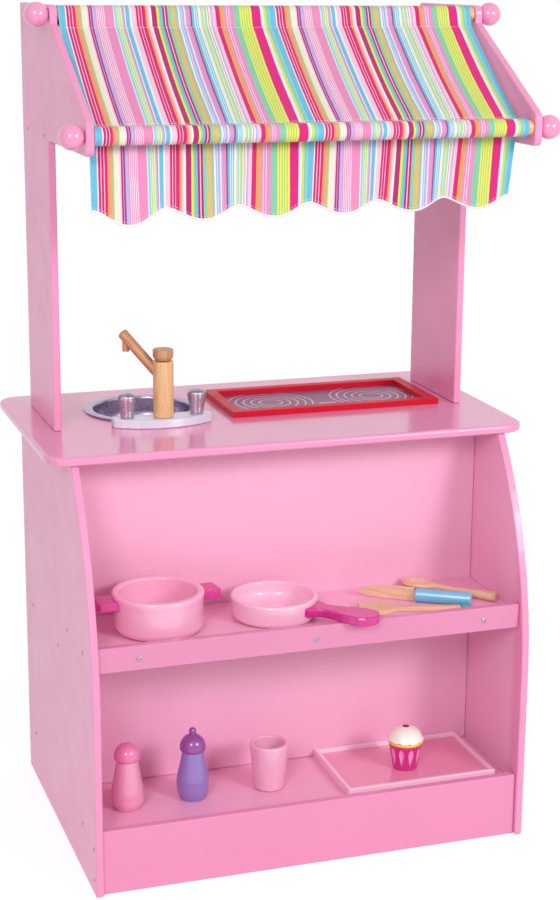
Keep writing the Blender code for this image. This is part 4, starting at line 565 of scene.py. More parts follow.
def node_middle(name):
    low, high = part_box(name)
    return (Vector(low) + Vector(high)) / 2.0


def wear(finish, *names):
    """Puts a finish on CAD nodes, in every slot that they have; pieces that replace them take it over."""
    for name in names:
        for slot in frame["nodes"][name].material_slots:
            slot.material = finish


def dress_boards():
    pink = card("board pink")
    boards = (
        "side_panel_left", "side_panel_right", "bottom_shelf", "centre_partition", "middle_shelf",
        "rear_shelf", "upper_board_left", "upper_board_right", "cross_board",
    )
    # Inside the cabinet the boards take a paler pink: painted sheen
    wear(painted("satin_pink_board", pink, 0.36, 0.14, inside_sheen=card("inside sheen pink")), *boards)
    # Kick board and rail: the board pink darkened, painted shade
    wear(painted("satin_pink_kick", card("kick painted shade pink"), 0.34, 0.20), "kick_board")
    wear(painted("satin_pink_rail", card("rail painted shade pink"), 0.34, 0.15), "shelf_rail")
    wear(painted("gloss_pink_worktop", pink, 0.22, 0.30), "worktop")
    knobs = [name for name in frame["nodes"] if name.startswith("ball_knob")]
    wear(painted("gloss_pink_ball", pink, 0.16, 0.6, 0.1), *knobs)


def dress_wood():
    light = card("beech light")
    dark = card("beech dark")
    upright = clear_wood("beech_upright", light, dark)
    wear(upright, "tap_column", "tap_pin", "knob_pin_left", "knob_pin_right")
    spout_light = card("spout beech light")
    spout_dark = card("spout beech dark")
    wear(clear_wood("beech_cap", spout_light, spout_dark), "tap_cap", "tap_nozzle")
    crosswise = clear_wood("beech_rod", light, dark, (1.0, 0.0, 0.0))
    wear(crosswise, "awning_rod_top", "awning_rod_front")
    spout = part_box("tap_spout")
    lean = Vector(spout[1]) - Vector(spout[0])
    wear(clear_wood("beech_spout", spout_light, spout_dark, (-lean.x, lean.y, lean.z)), "tap_spout")
    pale = card("pale wood light")
    pale_dark = card("pale wood dark")
    for name, turn in (("spoon", -47.0), ("turner", -15.0), ("knife_blade", -32.0)):
        heading = (math.cos(math.radians(turn)), math.sin(math.radians(turn)), 0.0)
        wear(clear_wood(name + "_wood", pale, pale_dark, heading, 0.5, 0.0, 120.0), name)


def dress_small_paint():
    gloss = (
        ("turned pink", "gloss_turned_pink", 0.22, ("pot_body", "cup")),
        # Tray rims: light pink made paler still, partly painted highlight
        ("tray rim highlight pink", "gloss_tray_rim", 0.16, ("tray_frame",)),
        ("pan pink", "gloss_pan_pink", 0.22, ("pan_body",)),
        ("handle magenta", "gloss_magenta", 0.26, ("pot_handle_left", "pot_handle_right", "pan_handle")),
        ("light blue", "gloss_light_blue", 0.24, ("knife_handle",)),
        ("teal", "gloss_teal", 0.24, ("turner_tip",)),
        ("salt pink", "gloss_salt_pink", 0.24, ("salt_body",)),
        ("salt cap pink", "gloss_salt_cap", 0.24, ("salt_cap",)),
        ("purple", "gloss_purple", 0.24, ("pepper_body",)),
        ("dark purple", "gloss_dark_purple", 0.24, ("pepper_cap",)),
        ("tray pink", "gloss_tray_panel", 0.16, ("tray_base",)),
        ("icing", "gloss_icing", 0.26, ("cupcake_icing",)),
        ("cherry", "gloss_cherry", 0.16, ("cupcake_cherry",)),
    )
    for word, name, roughness, nodes in gloss:
        wear(painted(name, card(word), roughness, 0.40, 0.15, *FINE_PAINT), *nodes)
    wear(cake_case_paint(), "cupcake_case")
    red = painted("satin_hob_red", card("hob red"), 0.42, 0.0, 0.10, *FINE_PAINT)
    red.node_tree.nodes["Principled BSDF"].inputs["Specular IOR Level"].default_value = 0.22
    wear(red, "hob_frame")


def overlay(made, mask, word):
    """Lays a second colour over a painted finish where the mask is 1."""
    base = made.node_tree.nodes["Principled BSDF"].inputs["Base Color"]
    bench = Bench(made.node_tree)
    bench.feed(base, bench.mix(mask, base.links[0].from_socket, card(word)))
    return made


def cake_case_paint():
    """Magenta gloss with pale pink in the drop-shaped hollows."""
    made = painted("gloss_cake_case", card("handle magenta"), 0.26, 0.4, 0.15, *FINE_PAINT)
    bench = Bench(made.node_tree)
    return overlay(made, bench.add("ShaderNodeAttribute", attribute_name="flute").outputs["Fac"], "drop pink")


def cake_band_paint():
    """Yellow band that turns orange at its lower edge."""
    made = painted("gloss_cake_band", card("icing band"), 0.26, 0.4, 0.0, *FINE_PAINT)
    bench = Bench(made.node_tree)
    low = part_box("cupcake_case")[1][2]
    fade = bench.spread(bench.parts(bench.here())[2], low + 0.0016, low + 0.0007)
    return overlay(made, fade, "band orange")


def dress_metal():
    wear(brushed_metal("satin_sink_metal", card("sink silver"), 0.28, 0.9), "sink_bowl")
    wear(brushed_metal("silver_ledge_paint", card("silver"), 0.36, 0.25), "tap_ledge")
    knobs = ("tap_knob_left", "tap_knob_right")
    wear(brushed_metal("silver_knob_paint", card("knob silver"), 0.26, 0.75), *knobs)
    screws = ("rail_screw_left", "rail_screw_middle", "rail_screw_right")
    wear(brushed_metal("bright_screw_steel", card("screw silver"), 0.2, 1.0), *screws)


def dress_hob_plate():
    made, bench, shader = new_finish("printed_hob_plate", 0.4)
    bench.dress(shader, Specular_IOR_Level=0.3)
    here = bench.here()
    skin = bench.use(PAINT_SKIN, Vector=here)
    grey = clouds(bench, skin, card("hob grey"), 0.93, 1.05)
    mask = 0.0
    for x, y in HOB_CENTRES:
        rings = bench.use(PRINTED_RINGS, Vector=here, Centre=(x, y, 0.0))["Mask"]
        mask = bench.math("MAXIMUM", mask, rings)
    beside = bench.vector("ABSOLUTE", bench.vector("SUBTRACT", here, HOB_BAR_CENTRE))
    parts = bench.parts(bench.vector("SUBTRACT", beside, HOB_BAR_HALF_SIZE))
    outside = bench.math("MAXIMUM", parts[0], parts[1])
    mask = bench.math("MAXIMUM", mask, bench.spread(outside, -0.0003, 0.0003, 1.0, 0.0))
    printed = bench.mix(mask, grey, card("hob ring"))
    hazy = bench.math("MULTIPLY_ADD", skin["Haze"], 0.10, 0.36)
    bench.dress(shader, Base_Color=printed, Roughness=hazy, Normal=bench.bump(skin["Height"], 0.08, 0.0003))
    wear(made, "hob_plate")


def striped_cloth():
    """Woven cotton: stripes across the cloth, thread relief, painted shade between the threads and a soft
    fuzz.
    """
    made, bench, shader = new_finish("striped_cotton", 0.85)
    bench.dress(shader, Sheen_Weight=0.15, Sheen_Roughness=0.5)
    cloth = bench.add("ShaderNodeUVMap", uv_map="cloth_metres").outputs[0]
    parts = bench.parts(cloth)
    weave = bench.use(PLAIN_WEAVE, Vector=cloth)
    wobble = bench.math("MULTIPLY_ADD", bench.noise(cloth, 60.0, 2.0), 0.0005, parts[0])
    stripes = bench.use(STRIPE_PLAN, Across=wobble)["Color"]
    # Colour darkened in the hollows between threads, a painted shade; the slubs vary the tone
    thread = bench.spread(weave["Height"], 0.0, 1.0, 0.93, 1.03)
    slub = bench.spread(weave["Slub"], 0.3, 0.7, 0.95, 1.04)
    level = bench.math("MULTIPLY", thread, slub)
    shade = bench.fill(bench.add("ShaderNodeCombineXYZ"), level, level, level)
    dyed = bench.mix(1.0, stripes, shade, "MULTIPLY")
    rough = bench.spread(weave["Slub"], 0.0, 1.0, 0.78, 0.92)
    bench.dress(shader, Base_Color=dyed, Roughness=rough, Normal=bench.bump(weave["Height"], 0.25, 0.0004))
    return made


def sewing_cotton():
    """Twisted white sewing thread."""
    made, bench, shader = new_finish("white_sewing_cotton", 0.8)
    grain = bench.noise(bench.here(), 2600.0, 2.0, 0.6)
    white = bench.mix(grain, linear((232, 216, 226)), linear((252, 246, 250)))
    bench.dress(shader, Base_Color=white, Normal=bench.bump(grain, 0.3, 0.0002))
    return made


# Scene objects and mesh work


def show(name, data):
    """Puts an object with this data into the scene."""
    made = bpy.data.objects.new(name, data)
    bpy.context.scene.collection.objects.link(made)
    return made


def mesh_of(name, work):
    mesh = bpy.data.meshes.new(name)
    work.to_mesh(mesh)
    work.free()
    return mesh


def skin(work, rows):
    """Faces between rows of points that run round a piece; a row on the axis is one point."""
    for near, far in zip(rows, rows[1:]):
        for j in range(max(len(near), len(far))):
            k = j + 1
            corners = (near[j % len(near)], near[k % len(near)], far[k % len(far)], far[j % len(far)])
            corners = list(dict.fromkeys(corners))
            if len(corners) > 2:
                work.faces.new(corners)


def smooth_step(low, high, value):
    share = max(0.0, min(1.0, (value - low) / (high - low)))
    return share * share * (3.0 - 2.0 * share)


def arc(centre, radius, start, end, steps):
    turns = [math.radians(start + (end - start) * i / steps) for i in range(steps + 1)]
    return [Vector((centre[0] + radius * math.cos(a), centre[1] + radius * math.sin(a))) for a in turns]


# Awning


def loop_round(rod, seam, radius, steps):
    """Points round a rod from one side of a seam to the other."""
    reach = seam - rod
    opening = math.degrees(math.acos(min(1.0, radius / reach.length)))
    heading = math.degrees(math.atan2(reach.y, reach.x))
    return arc(rod, radius, heading + opening, heading + 360.0 - opening, steps)


def ease_between(first, last, steps):
    return [first.lerp(last, i / steps) for i in range(1, steps)]


def rod_place(name):
    middle = node_middle(name)
    return Vector((middle.y, middle.z))


class Awning:
    """The cloth's path in Y and Z at each place across it, from the flap at the top seam to the hem."""

    def __init__(self):
        self.top = rod_place("awning_rod_top")
        self.front = rod_place("awning_rod_front")
        low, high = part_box("awning_rod_front")
        self.radius = (high[2] - low[2]) / 2.0 + CLOTH_ROD_CLEARANCE + CLOTH_THICKNESS / 2.0
        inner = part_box("upper_board_right")[0][0]
        self.left = -inner + CLOTH_LEFT_GAP
        self.right = inner - CLOTH_RIGHT_GAP
        self.top_seam = self.top + Vector((-TOP_SEAM_FORWARD, -TOP_SEAM_DROP))
        self.front_seam = self.front + Vector((FRONT_SEAM_BACK, FRONT_SEAM_RISE))
        slope = self.front_seam - self.top_seam
        self.slope = slope
        normal = Vector((slope.y, -slope.x)).normalized()
        self.normal = normal if normal.y > 0.0 else -normal

    def across(self, share):
        return self.left + (self.right - self.left) * share

    def swing(self, share, t):
        """How far the valance hangs from plumb: forward at the left end, back at the right, in folds."""
        wave = math.sin(2.0 * math.pi * SCALLOP_COUNT * share + VALANCE_WAVE_SHIFT)
        lean = VALANCE_LEFT_LEAN + (VALANCE_RIGHT_LEAN - VALANCE_LEFT_LEAN) * share
        return VALANCE_FOLD_DEPTH * wave * t**1.3 + lean * t

    def drop(self, share):
        """Length of the valance: six scallops with rounded valleys, the first one a little deeper."""
        turn = math.sin(math.pi * SCALLOP_COUNT * share) ** 2
        scallop = turn ** SCALLOP_ROUNDING
        first = share * SCALLOP_COUNT < 1.0
        return VALANCE_DROP + (SCALLOP_DEPTH + (FIRST_SCALLOP_SAG if first else 0.0)) * scallop

    def pucker(self, share, reach):
        """Small gathers beside a seam that fade with the distance from it."""
        where = self.across(share) * 1000.0
        gather = noise.noise(Vector((where / GATHER_PITCH_MM, reach * 30.0, 3.1)))
        ripple = noise.noise(Vector((where / RIPPLE_PITCH_MM, reach * 6.0, 8.7)))
        return GATHER_DEPTH * gather * math.exp(-reach / GATHER_FADE_LENGTH) + RIPPLE_DEPTH * ripple

    def slope_lift(self, share, t):
        """How far the slope stands off the straight line between its seams."""
        edge = min(t, 1.0 - t) * self.slope.length
        swell = SLOPE_SWELL * math.cos(2.0 * math.pi * SCALLOP_COUNT * share) - SLOPE_SAG
        held = smooth_step(0.0, GATHERS_FADE_IN, edge)
        return swell * math.sin(math.pi * t) + self.pucker(share, edge) * held

    def path(self, share):
        """Points along the middle line of the cloth."""
        points = []
        step = CLOTH_THICKNESS * 1.25
        flap_start = self.top_seam + self.slope.normalized() * SEAM_FLAP - self.normal * step
        flap_end = self.top_seam - self.normal * step
        points.append(flap_start)
        points.extend(ease_between(flap_start, flap_end, 4))
        loop = loop_round(self.top, self.top_seam, self.radius, ROD_LOOP_STEPS)
        if loop[0].y > loop[-1].y:
            loop.reverse()
        points.append(flap_end)
        points.extend(ease_between(flap_end, loop[0], 3))
        points.extend(loop)
        points.extend(ease_between(loop[-1], self.top_seam, 3))
        for i in range(SLOPE_STEPS + 1):
            t = i / SLOPE_STEPS
            points.append(self.top_seam + self.slope * t + self.normal * self.slope_lift(share, t))
        loop = loop_round(self.front, self.front_seam, self.radius, ROD_LOOP_STEPS)
        if loop[0].y < loop[-1].y:
            loop.reverse()
        points.extend(ease_between(points[-1], loop[0], 3))
        points.extend(loop)
        points.extend(ease_between(loop[-1], self.front_seam + Vector(FOLD_TURN), 4))
        drop = self.drop(share)
        fold_start = self.front_seam + Vector((0.0, -FOLD_START_DROP))
        for i in range(VALANCE_STEPS + 1):
            t = i / VALANCE_STEPS
            swing = self.swing(share, t)
            ripple = self.pucker(share, drop * t) * smooth_step(0.0, 0.3, t) * 0.8
            points.append(fold_start + Vector((swing + ripple, -(drop - FOLD_START_DROP) * t)))
        return points


def make_cloth(awning):
    """The cloth as one thin shell with its own coordinates in metres: across, and along the path."""
    count = SCALLOP_COUNT * STATIONS_PER_SCALLOP
    work = bmesh.new()
    layer = work.loops.layers.uv.new("cloth_metres")
    outer_rows = []
    inner_rows = []
    across_cloth = []
    along_cloth = []
    for i in range(count + 1):
        share = i / count
        x = awning.across(share)
        path = awning.path(share)
        run = 0.0
        runs = []
        outer = []
        inner = []
        for k, point in enumerate(path):
            before = path[max(0, k - 1)]
            after = path[min(len(path) - 1, k + 1)]
            heading = (after - before).normalized()
            side = Vector((heading.y, -heading.x)) * (CLOTH_THICKNESS / 2.0)
            run += (point - before).length
            runs.append(run)
            outer.append(work.verts.new((x, point.x + side.x, point.y + side.y)))
            inner.append(work.verts.new((x, point.x - side.x, point.y - side.y)))
        outer_rows.append(outer)
        inner_rows.append(inner)
        across_cloth.append(x - awning.left)
        along_cloth.append(runs)

    def face(corners):
        made = work.faces.new([rows[i][k] for rows, i, k in corners])
        for loop, (rows, i, k) in zip(made.loops, corners):
            loop[layer].uv = (across_cloth[i], along_cloth[i][k])

    last = len(along_cloth[0]) - 1
    for i in range(count):
        for k in range(last):
            n, m = i + 1, k + 1
            face([(outer_rows, i, k), (outer_rows, n, k), (outer_rows, n, m), (outer_rows, i, m)])
            face([(inner_rows, i, k), (inner_rows, i, m), (inner_rows, n, m), (inner_rows, n, k)])
        for k in (0, last):
            face([(outer_rows, i, k), (inner_rows, i, k), (inner_rows, i + 1, k), (outer_rows, i + 1, k)])
    for i in (0, count):
        for k in range(last):
            face([(outer_rows, i, k), (outer_rows, i, k + 1), (inner_rows, i, k + 1), (inner_rows, i, k)])
    return place_mesh("awning_striped_cloth", work, striped_cloth(), "kitchen", 60.0)


def place_mesh(name, work, finish, body, smooth=40.0):
    """Turns finished mesh work, its faces outward, into a piece that rides on a body."""
    bmesh.ops.recalc_face_normals(work, faces=work.faces)
    mesh = mesh_of(name, work)
    mesh.materials.append(finish)
    mesh.shade_smooth()
    mesh.set_sharp_from_angle(angle=math.radians(smooth))
    made = show(name, mesh)
    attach(made, body)
    return made


def tube_along(work, points, radius, sides=6):
    """Round-ended tube through points in space."""
    rings = []
    count = len(points)
    for k, point in enumerate(points):
        before = points[max(0, k - 1)]
        after = points[min(count - 1, k + 1)]
        heading = (after - before).normalized()
        flat = heading.orthogonal().normalized()
        side = heading.cross(flat)
        swell = radius if 0 < k < count - 1 else radius * 0.45
        ring = []
        for j in range(sides):
            a = 2.0 * math.pi * j / sides
            ring.append(work.verts.new(point + flat * (swell * math.cos(a)) + side * (swell * math.sin(a))))
        rings.append(ring)
    for near, far in zip(rings, rings[1:]):
        turn = min(range(sides), key=lambda j: (far[j].co - near[0].co).length)
        for j in range(sides):
            a = near[j]
            b = near[(j + 1) % sides]
            c = far[(j + 1 + turn) % sides]
            d = far[(j + turn) % sides]
            work.faces.new((a, b, c, d))
    work.faces.new(rings[0])
    work.faces.new(rings[-1])


def make_stitches(name, awning, spot_on, along, thread):
    """Running stitches across the cloth, each a short tube that lies on its surface."""
    width = awning.right - awning.left
    count = int(width / STITCH_PITCH)
    work = bmesh.new()
    for k in range(count):
        start = (k + 0.5) * STITCH_PITCH - STITCH_LENGTH / 2.0
        points = []
        for j in range(4):
            share = (start + STITCH_LENGTH * j / 3.0) / width
            lift = -0.0001 if j in (0, 3) else 0.00025
            points.append(spot_on(awning, share, along, lift))
        tube_along(work, points, STITCH_RADIUS, 5)
    return place_mesh(name, work, thread, "kitchen", 80.0)


def hem_point(awning, share, up, lift):
    """A place on the valance's front this far above its lower edge."""
    path = awning.path(share)
    run = 0.0
    for near, far in zip(reversed(path), list(reversed(path))[1:]):
        step = (far - near).length
        if run + step >= up:
            spot = near.lerp(far, (up - run) / step)
            return Vector((awning.across(share), spot.x - CLOTH_THICKNESS / 2.0 - lift, spot.y))
        run += step
    return None


def slope_point(awning, share, along, lift):
    """A place on top of the slope this far below the top seam."""
    t = along / awning.slope.length
    rise = awning.slope_lift(share, t)
    spot = awning.top_seam + awning.slope * t + awning.normal * (rise + CLOTH_THICKNESS / 2.0 + lift)
    return Vector((awning.across(share), spot.x, spot.y))


def make_edging(awning, thread):
    """Narrow white overlocked edge that wraps the scalloped hem."""
    count = SCALLOP_COUNT * STATIONS_PER_SCALLOP
    half = CLOTH_THICKNESS / 2.0 + EDGING_STAND_OFF
    work = bmesh.new()
    rings = []
    for i in range(count + 1):
        share = i / count
        path = awning.path(share)
        end = path[-1]
        down = (path[-1] - path[-4]).normalized()
        side = Vector((down.y, -down.x))
        x = awning.across(share)
        ring = []
        for along, out in ((-0.0020, -half), (0.0002, -half), (0.0007, -half * 0.4),
                           (0.0007, half * 0.4), (0.0002, half), (-0.0020, half)):
            spot = end + down * along + side * out
            ring.append(work.verts.new((x, spot.x, spot.y)))
        rings.append(ring)
    skin(work, rings)
    work.faces.new(rings[0])
    work.faces.new(rings[-1])
    return place_mesh("awning_hem_edging", work, thread, "kitchen", 50.0)


def make_awning():
    awning = Awning()
    thread = sewing_cotton()
    cloth = make_cloth(awning)
    edging = make_edging(awning, thread)
    front_row = awning.slope.length - FRONT_STITCH_ABOVE_SEAM
    rows = (
        ("hem_stitches", hem_point, HEM_STITCH_RISE),
        ("top_seam_stitches", slope_point, TOP_STITCH_BELOW_SEAM),
        ("front_seam_stitches", slope_point, front_row),
    )
    hem, top, front = [make_stitches(name, awning, spot, along, thread) for name, spot, along in rows]
    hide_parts("awning_cloth")
    path = awning.path(0.5)


# Turned pieces, finer than the facets of the CAD nodes that they stand for


def eased(points, steps=6):
    """A smooth line through (radius, height) points, both ends included."""
    spots = [Vector(p) for p in points]
    last = len(spots) - 1
    line = []
    for i in range(last):
        before = spots[max(0, i - 1)]
        near = spots[i]
        far = spots[i + 1]
        after = spots[min(last, i + 2)]
        for k in range(steps):
            t = k / steps
            bend = (2.0 * before - 5.0 * near + 4.0 * far - after) * t * t
            twist = (3.0 * (near - far) + after - before) * t**3
            line.append((near * 2.0 + (far - before) * t + bend + twist) * 0.5)
    line.append(spots[last])
    return line


def lathe(work, profile, place, turn=None, steps=96, shape=None):
    """Turns (radius, height) points round an axis; shape changes each one by its angle."""
    to_axis = Matrix.Identity(3) if turn is None else turn.to_matrix()
    rows = []
    for radius, height in profile:
        row = []
        for j in range(steps if radius > 0.00001 else 1):
            a = 2.0 * math.pi * j / steps
            r, h = shape(radius, height, a) if shape else (radius, height)
            spot = to_axis @ Vector((r * math.cos(a), r * math.sin(a), h))
            row.append(work.verts.new(Vector(place) + spot))
        rows.append(row)
    skin(work, rows)


def foot_of(node):
    """Middle of a node's box in X and Y, at its lowest height."""
    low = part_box(node)[0]
    middle = node_middle(node)
    return Vector((middle.x, middle.y, low[2]))


def finish_of(node):
    return frame["nodes"][node].material_slots[0].material


def stand_for(node, name, work, smooth=40.0, finish=None):
    """Places mesh work as the piece that stands for one CAD node, on its body and in its slot."""
    body = frame["nodes"][node]["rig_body"]
    made = place_mesh(name, work, finish or finish_of(node), body, smooth)
    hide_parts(node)
    return made


def turned_piece(node, name, profile, place=None, turn=None, steps=96, shape=None, smooth=40.0):
    work = bmesh.new()
    lathe(work, profile, foot_of(node) if place is None else place, turn, steps, shape)
    return stand_for(node, name, work, smooth)


def bore_holes(target, work):
    """Cuts closed mesh work out of a piece."""
    bmesh.ops.recalc_face_normals(work, faces=work.faces)
    bits = show("boring_bits", mesh_of("boring_bits", work))
    cut = target.modifiers.new("Holes", "BOOLEAN")
    cut.operation = "DIFFERENCE"
    cut.solver = "EXACT"
    cut.object = bits
    bpy.context.view_layer.update()
    shown = target.evaluated_get(bpy.context.evaluated_depsgraph_get())
    bored = bpy.data.meshes.new_from_object(shown)
    target.modifiers.clear()
    target.data = bored
    bpy.data.objects.remove(bits)


def rolled_lip(inside, rim, high, lip):
    """The round edge between the inside and the outside of a bowl."""
    centres = ((inside + lip, 180.0, 90.0), (rim - lip, 90.0, 0.0))
    return [spot for x, start, end in centres for spot in arc((x, high - lip), lip, start, end, 10)]


def turn_pot():
    rim = 0.0605
    side = 0.0585
    high = 0.0540
    foot = 0.0110
    lip = 0.0036
    inside = rim - 0.0100
    floor = inside - 0.01375
    thick = 0.0080
    bend = 0.0110
    turned_piece("pot_body", "turned_pot", [
        (0.0, thick), (floor * 0.5, thick),
        *arc((floor, thick + bend), bend, -90.0, -12.0, 14),
        *eased([(inside - 0.0021, 0.0230), (inside - 0.0008, 0.0370), (inside, high - lip - 0.001)]),
        *rolled_lip(inside, rim, high, lip),
        *eased([(rim - 0.0002, high - 0.0065), (side + 0.0006, high * 0.74), (side, high * 0.56)]),
        *arc((side - foot, foot), foot, 0.0, -84.0, 16),
        (0.0450, 0.0), (0.0, 0.0),
    ], steps=128)


def turn_pan():
    rim = 0.0585
    high = 0.0310
    foot = 0.0080
    inside = rim - 0.0075
    lip = 0.0030
    thick = 0.0070
    turned_piece("pan_body", "turned_pan", [
        (0.0, thick), (inside * 0.4, thick),
        *eased([
            (inside - 0.0160, thick), (inside - 0.0061, 0.0096), (inside - 0.0010, 0.0155),
            (inside, high - 0.0050),
        ]),
        *rolled_lip(inside, rim, high, lip),
        (rim - 0.0010, foot * 1.3),
        *arc((rim - 0.0014 - foot, foot), foot, 0.0, -80.0, 12),
        (0.0460, 0.0), (0.0, 0.0),
    ], steps=128)


def turn_cup():
    rim = 0.0265
    base = 0.0207
    wall = 0.0060
    high = 0.0655
    edge = wall / 2.0
    thick = 0.0070
    bend = 0.0035
    turned_piece("cup", "turned_cup", [
        (0.0, thick),
        *arc((base - wall - bend, thick + bend), bend, -90.0, 0.0, 8),
        *arc((rim - edge, high - edge), edge, 180.0, 0.0, 18),
        *arc((base - bend, bend), bend, 0.0, -90.0, 8),
        (0.0, 0.0),
    ])


def turn_shakers():
    high = 0.0672
    belly = 0.0219
    neck = 0.0143
    base = 0.0177
    cap = 0.0176
    rise = 0.0238
    bore = SHAKER_PEG_RADIUS + FIT_GAP
    bore_depth = SHAKER_PEG_LENGTH + FIT_GAP
    for word, mid in (("salt", 0.0150), ("pepper", 0.0220)):
        waist = high - mid
        turned_piece(word + "_body", "turned_" + word + "_shaker", [
            (0.0, high - bore_depth), (bore, high - bore_depth), (bore, high), (neck - 0.0004, high),
            *eased([
                (neck, high - 0.0004), (neck + (belly - neck) * 0.28, mid + waist * 0.72),
                (neck + (belly - neck) * 0.66, mid + waist * 0.42), (belly * 0.985, mid + waist * 0.16),
                (belly, mid), (belly * 0.975, mid * 0.55), (base * 1.07, mid * 0.17), (base * 1.0, 0.0008),
            ]),
            (base * 0.96, 0.0), (0.0, 0.0),
        ])
        dome = [(cap * math.cos(math.radians(a)), rise * (0.22 + 0.78 * math.sin(math.radians(a))))
                for a in range(84, -7, -6)]
        top = [(0.0, rise)]
        if word == "pepper":
            bud = 0.0050
            seat = rise * 0.985 + 0.0008
            centre = seat + bud * 0.72
            top = [(0.0, centre + bud), *arc((0.0, centre), bud, 84.0, -38.0, 14), (0.0042, seat),
                   (0.0042, rise * 0.985), (0.0052, rise * 0.978)]
            dome = dome[3:]
        piece = turned_piece(word + "_cap", "turned_" + word + "_cap", [
            *top, *dome, (cap * 0.985, rise * 0.09), (cap * 0.93, rise * 0.035), (cap * 0.86, 0.0),
            (SHAKER_PEG_RADIUS, 0.0), (SHAKER_PEG_RADIUS, -SHAKER_PEG_LENGTH), (0.0, -SHAKER_PEG_LENGTH),
        ], place=foot_of(word + "_cap") + Vector((0.0, 0.0, SHAKER_PEG_LENGTH)))
        if word == "salt":
            middle = foot_of("salt_cap") + Vector((0.0, 0.0, SHAKER_PEG_LENGTH + rise))
            drill = [(0.0, 0.01), (SALT_HOLE_RADIUS, 0.01), (SALT_HOLE_RADIUS, -0.0035), (0.0, -0.0035)]
            bits = bmesh.new()
            for k in range(SALT_HOLE_COUNT):
                a = 2.0 * math.pi * k / SALT_HOLE_COUNT
                out = Vector((SALT_HOLE_RING_RADIUS * math.cos(a), SALT_HOLE_RING_RADIUS * math.sin(a), 0.0))
                lathe(bits, drill, middle + out, None, 20)
            bore_holes(piece, bits)


def flute_at(height, angle, high, low, wide):
    """How deep a point lies in one of the drop-shaped hollows, and whether it is in one."""
    share = height / high
    reach = (share - 0.10) / 0.80
    if not 0.0 < reach < 1.0:
        return 0.0, 0.0
    half = 0.0036 * math.sin(math.pi * reach**2.0) ** 0.75
    turn = (angle * FLUTE_COUNT / (2.0 * math.pi)) % 1.0 - 0.5
    off = abs(turn) * 2.0 * math.pi / FLUTE_COUNT * (low + (wide - low) * share)
    if off >= half + 0.0004:
        return 0.0, 0.0
    depth = 0.0013 * math.sqrt(max(0.0, 1.0 - (off / max(half, 0.0001)) ** 2))
    return depth, 1.0 - smooth_step(half - 0.0003, half + 0.0003, off)


def turn_cupcake():
    low = 0.0168
    high = 0.0370
    wide = 0.0236
    place = foot_of("cupcake_case")
    work = bmesh.new()
    mask = work.verts.layers.float.new("flute")
    side = [(low + (wide - low) * k / 56.0, high * k / 56.0) for k in range(54, 1, -1)]
    profile = [
        (0.0, high), (wide - 0.0012, high), (wide - 0.0003, high - 0.0003), *side,
        (low - 0.0006, 0.0002), (low - 0.0012, 0.0), (0.0, 0.0),
    ]

    def fluted(radius, height, angle):
        return radius - flute_at(height, angle, high, low, wide)[0], height

    def in_case(radius, height, angle):
        return fluted(radius, height, angle) if radius > low - 0.0002 else (radius, height)

    lathe(work, profile, place, None, 280, in_case)
    for vert in work.verts:
        out = vert.co - place
        if out.xy.length > low * 0.9:
            vert[mask] = flute_at(out.z, math.atan2(out.y, out.x) % (2.0 * math.pi), high, low, wide)[1]
    stand_for("cupcake_case", "fluted_cake_case", work, 60.0)

    seat = place + Vector((0.0, 0.0, high + 0.0003))
    band = 0.0246
    dome = 0.0240
    rise = 0.0050
    full = rise + 0.0185
    rounded = [(dome * math.cos(math.radians(a)), rise + 0.0185 * math.sin(math.radians(a)))
               for a in range(78, 12, -5)]

    def lobed(radius, height, angle):
        if height > rise + 0.0045 or radius < 0.012:
            return radius, height
        lobe = abs(math.sin(angle * ICING_LOBE_COUNT / 2.0)) ** 0.55
        share = 1.0 - max(0.0, height - 0.0030) / (rise + 0.0045 - 0.0030)
        return radius + 0.0004 * lobe * share, height - 0.0018 * lobe * share + 0.0026 * share

    turned_piece("cupcake_icing", "lobed_icing_dome", [
        (0.0, full - 0.0023), (0.0051, full - 0.0023), (0.0051, full - 0.0003), *rounded,
        (band + 0.0001, rise + 0.0016), (band + 0.0007, rise + 0.0004), (band + 0.0007, rise - 0.0006),
        (band + 0.0003, rise - 0.0014), (band - 0.0012, rise - 0.0018), (0.0, rise - 0.0018),
    ], place=seat, steps=264, shape=lobed, smooth=60.0)

    work = bmesh.new()
    corner = 0.0009
    lathe(work, [
        (0.0, rise - 0.0008), (band - 0.0010, rise - 0.0008),
        *arc((band - corner, rise - 0.0017), corner, 90.0, 0.0, 5),
        *arc((band - corner, corner), corner, 0.0, -90.0, 5),
        (CAKE_PEG_RADIUS, 0.0), (CAKE_PEG_RADIUS, -CAKE_PEG_LENGTH), (0.0, -CAKE_PEG_LENGTH),
    ], seat)
    place_mesh("cake_band", work, cake_band_paint(), "cupcake")

    r = 0.0048
    turned_piece("cupcake_cherry", "turned_cherry", [
        (0.0, 0.0030), *eased([(r * 0.3, 0.00298), (r * 0.66, 0.0027), (r * 0.93, 0.0020), (r, 0.0012)]),
        (r, 0.0), (0.0, 0.0),
    ], steps=64)


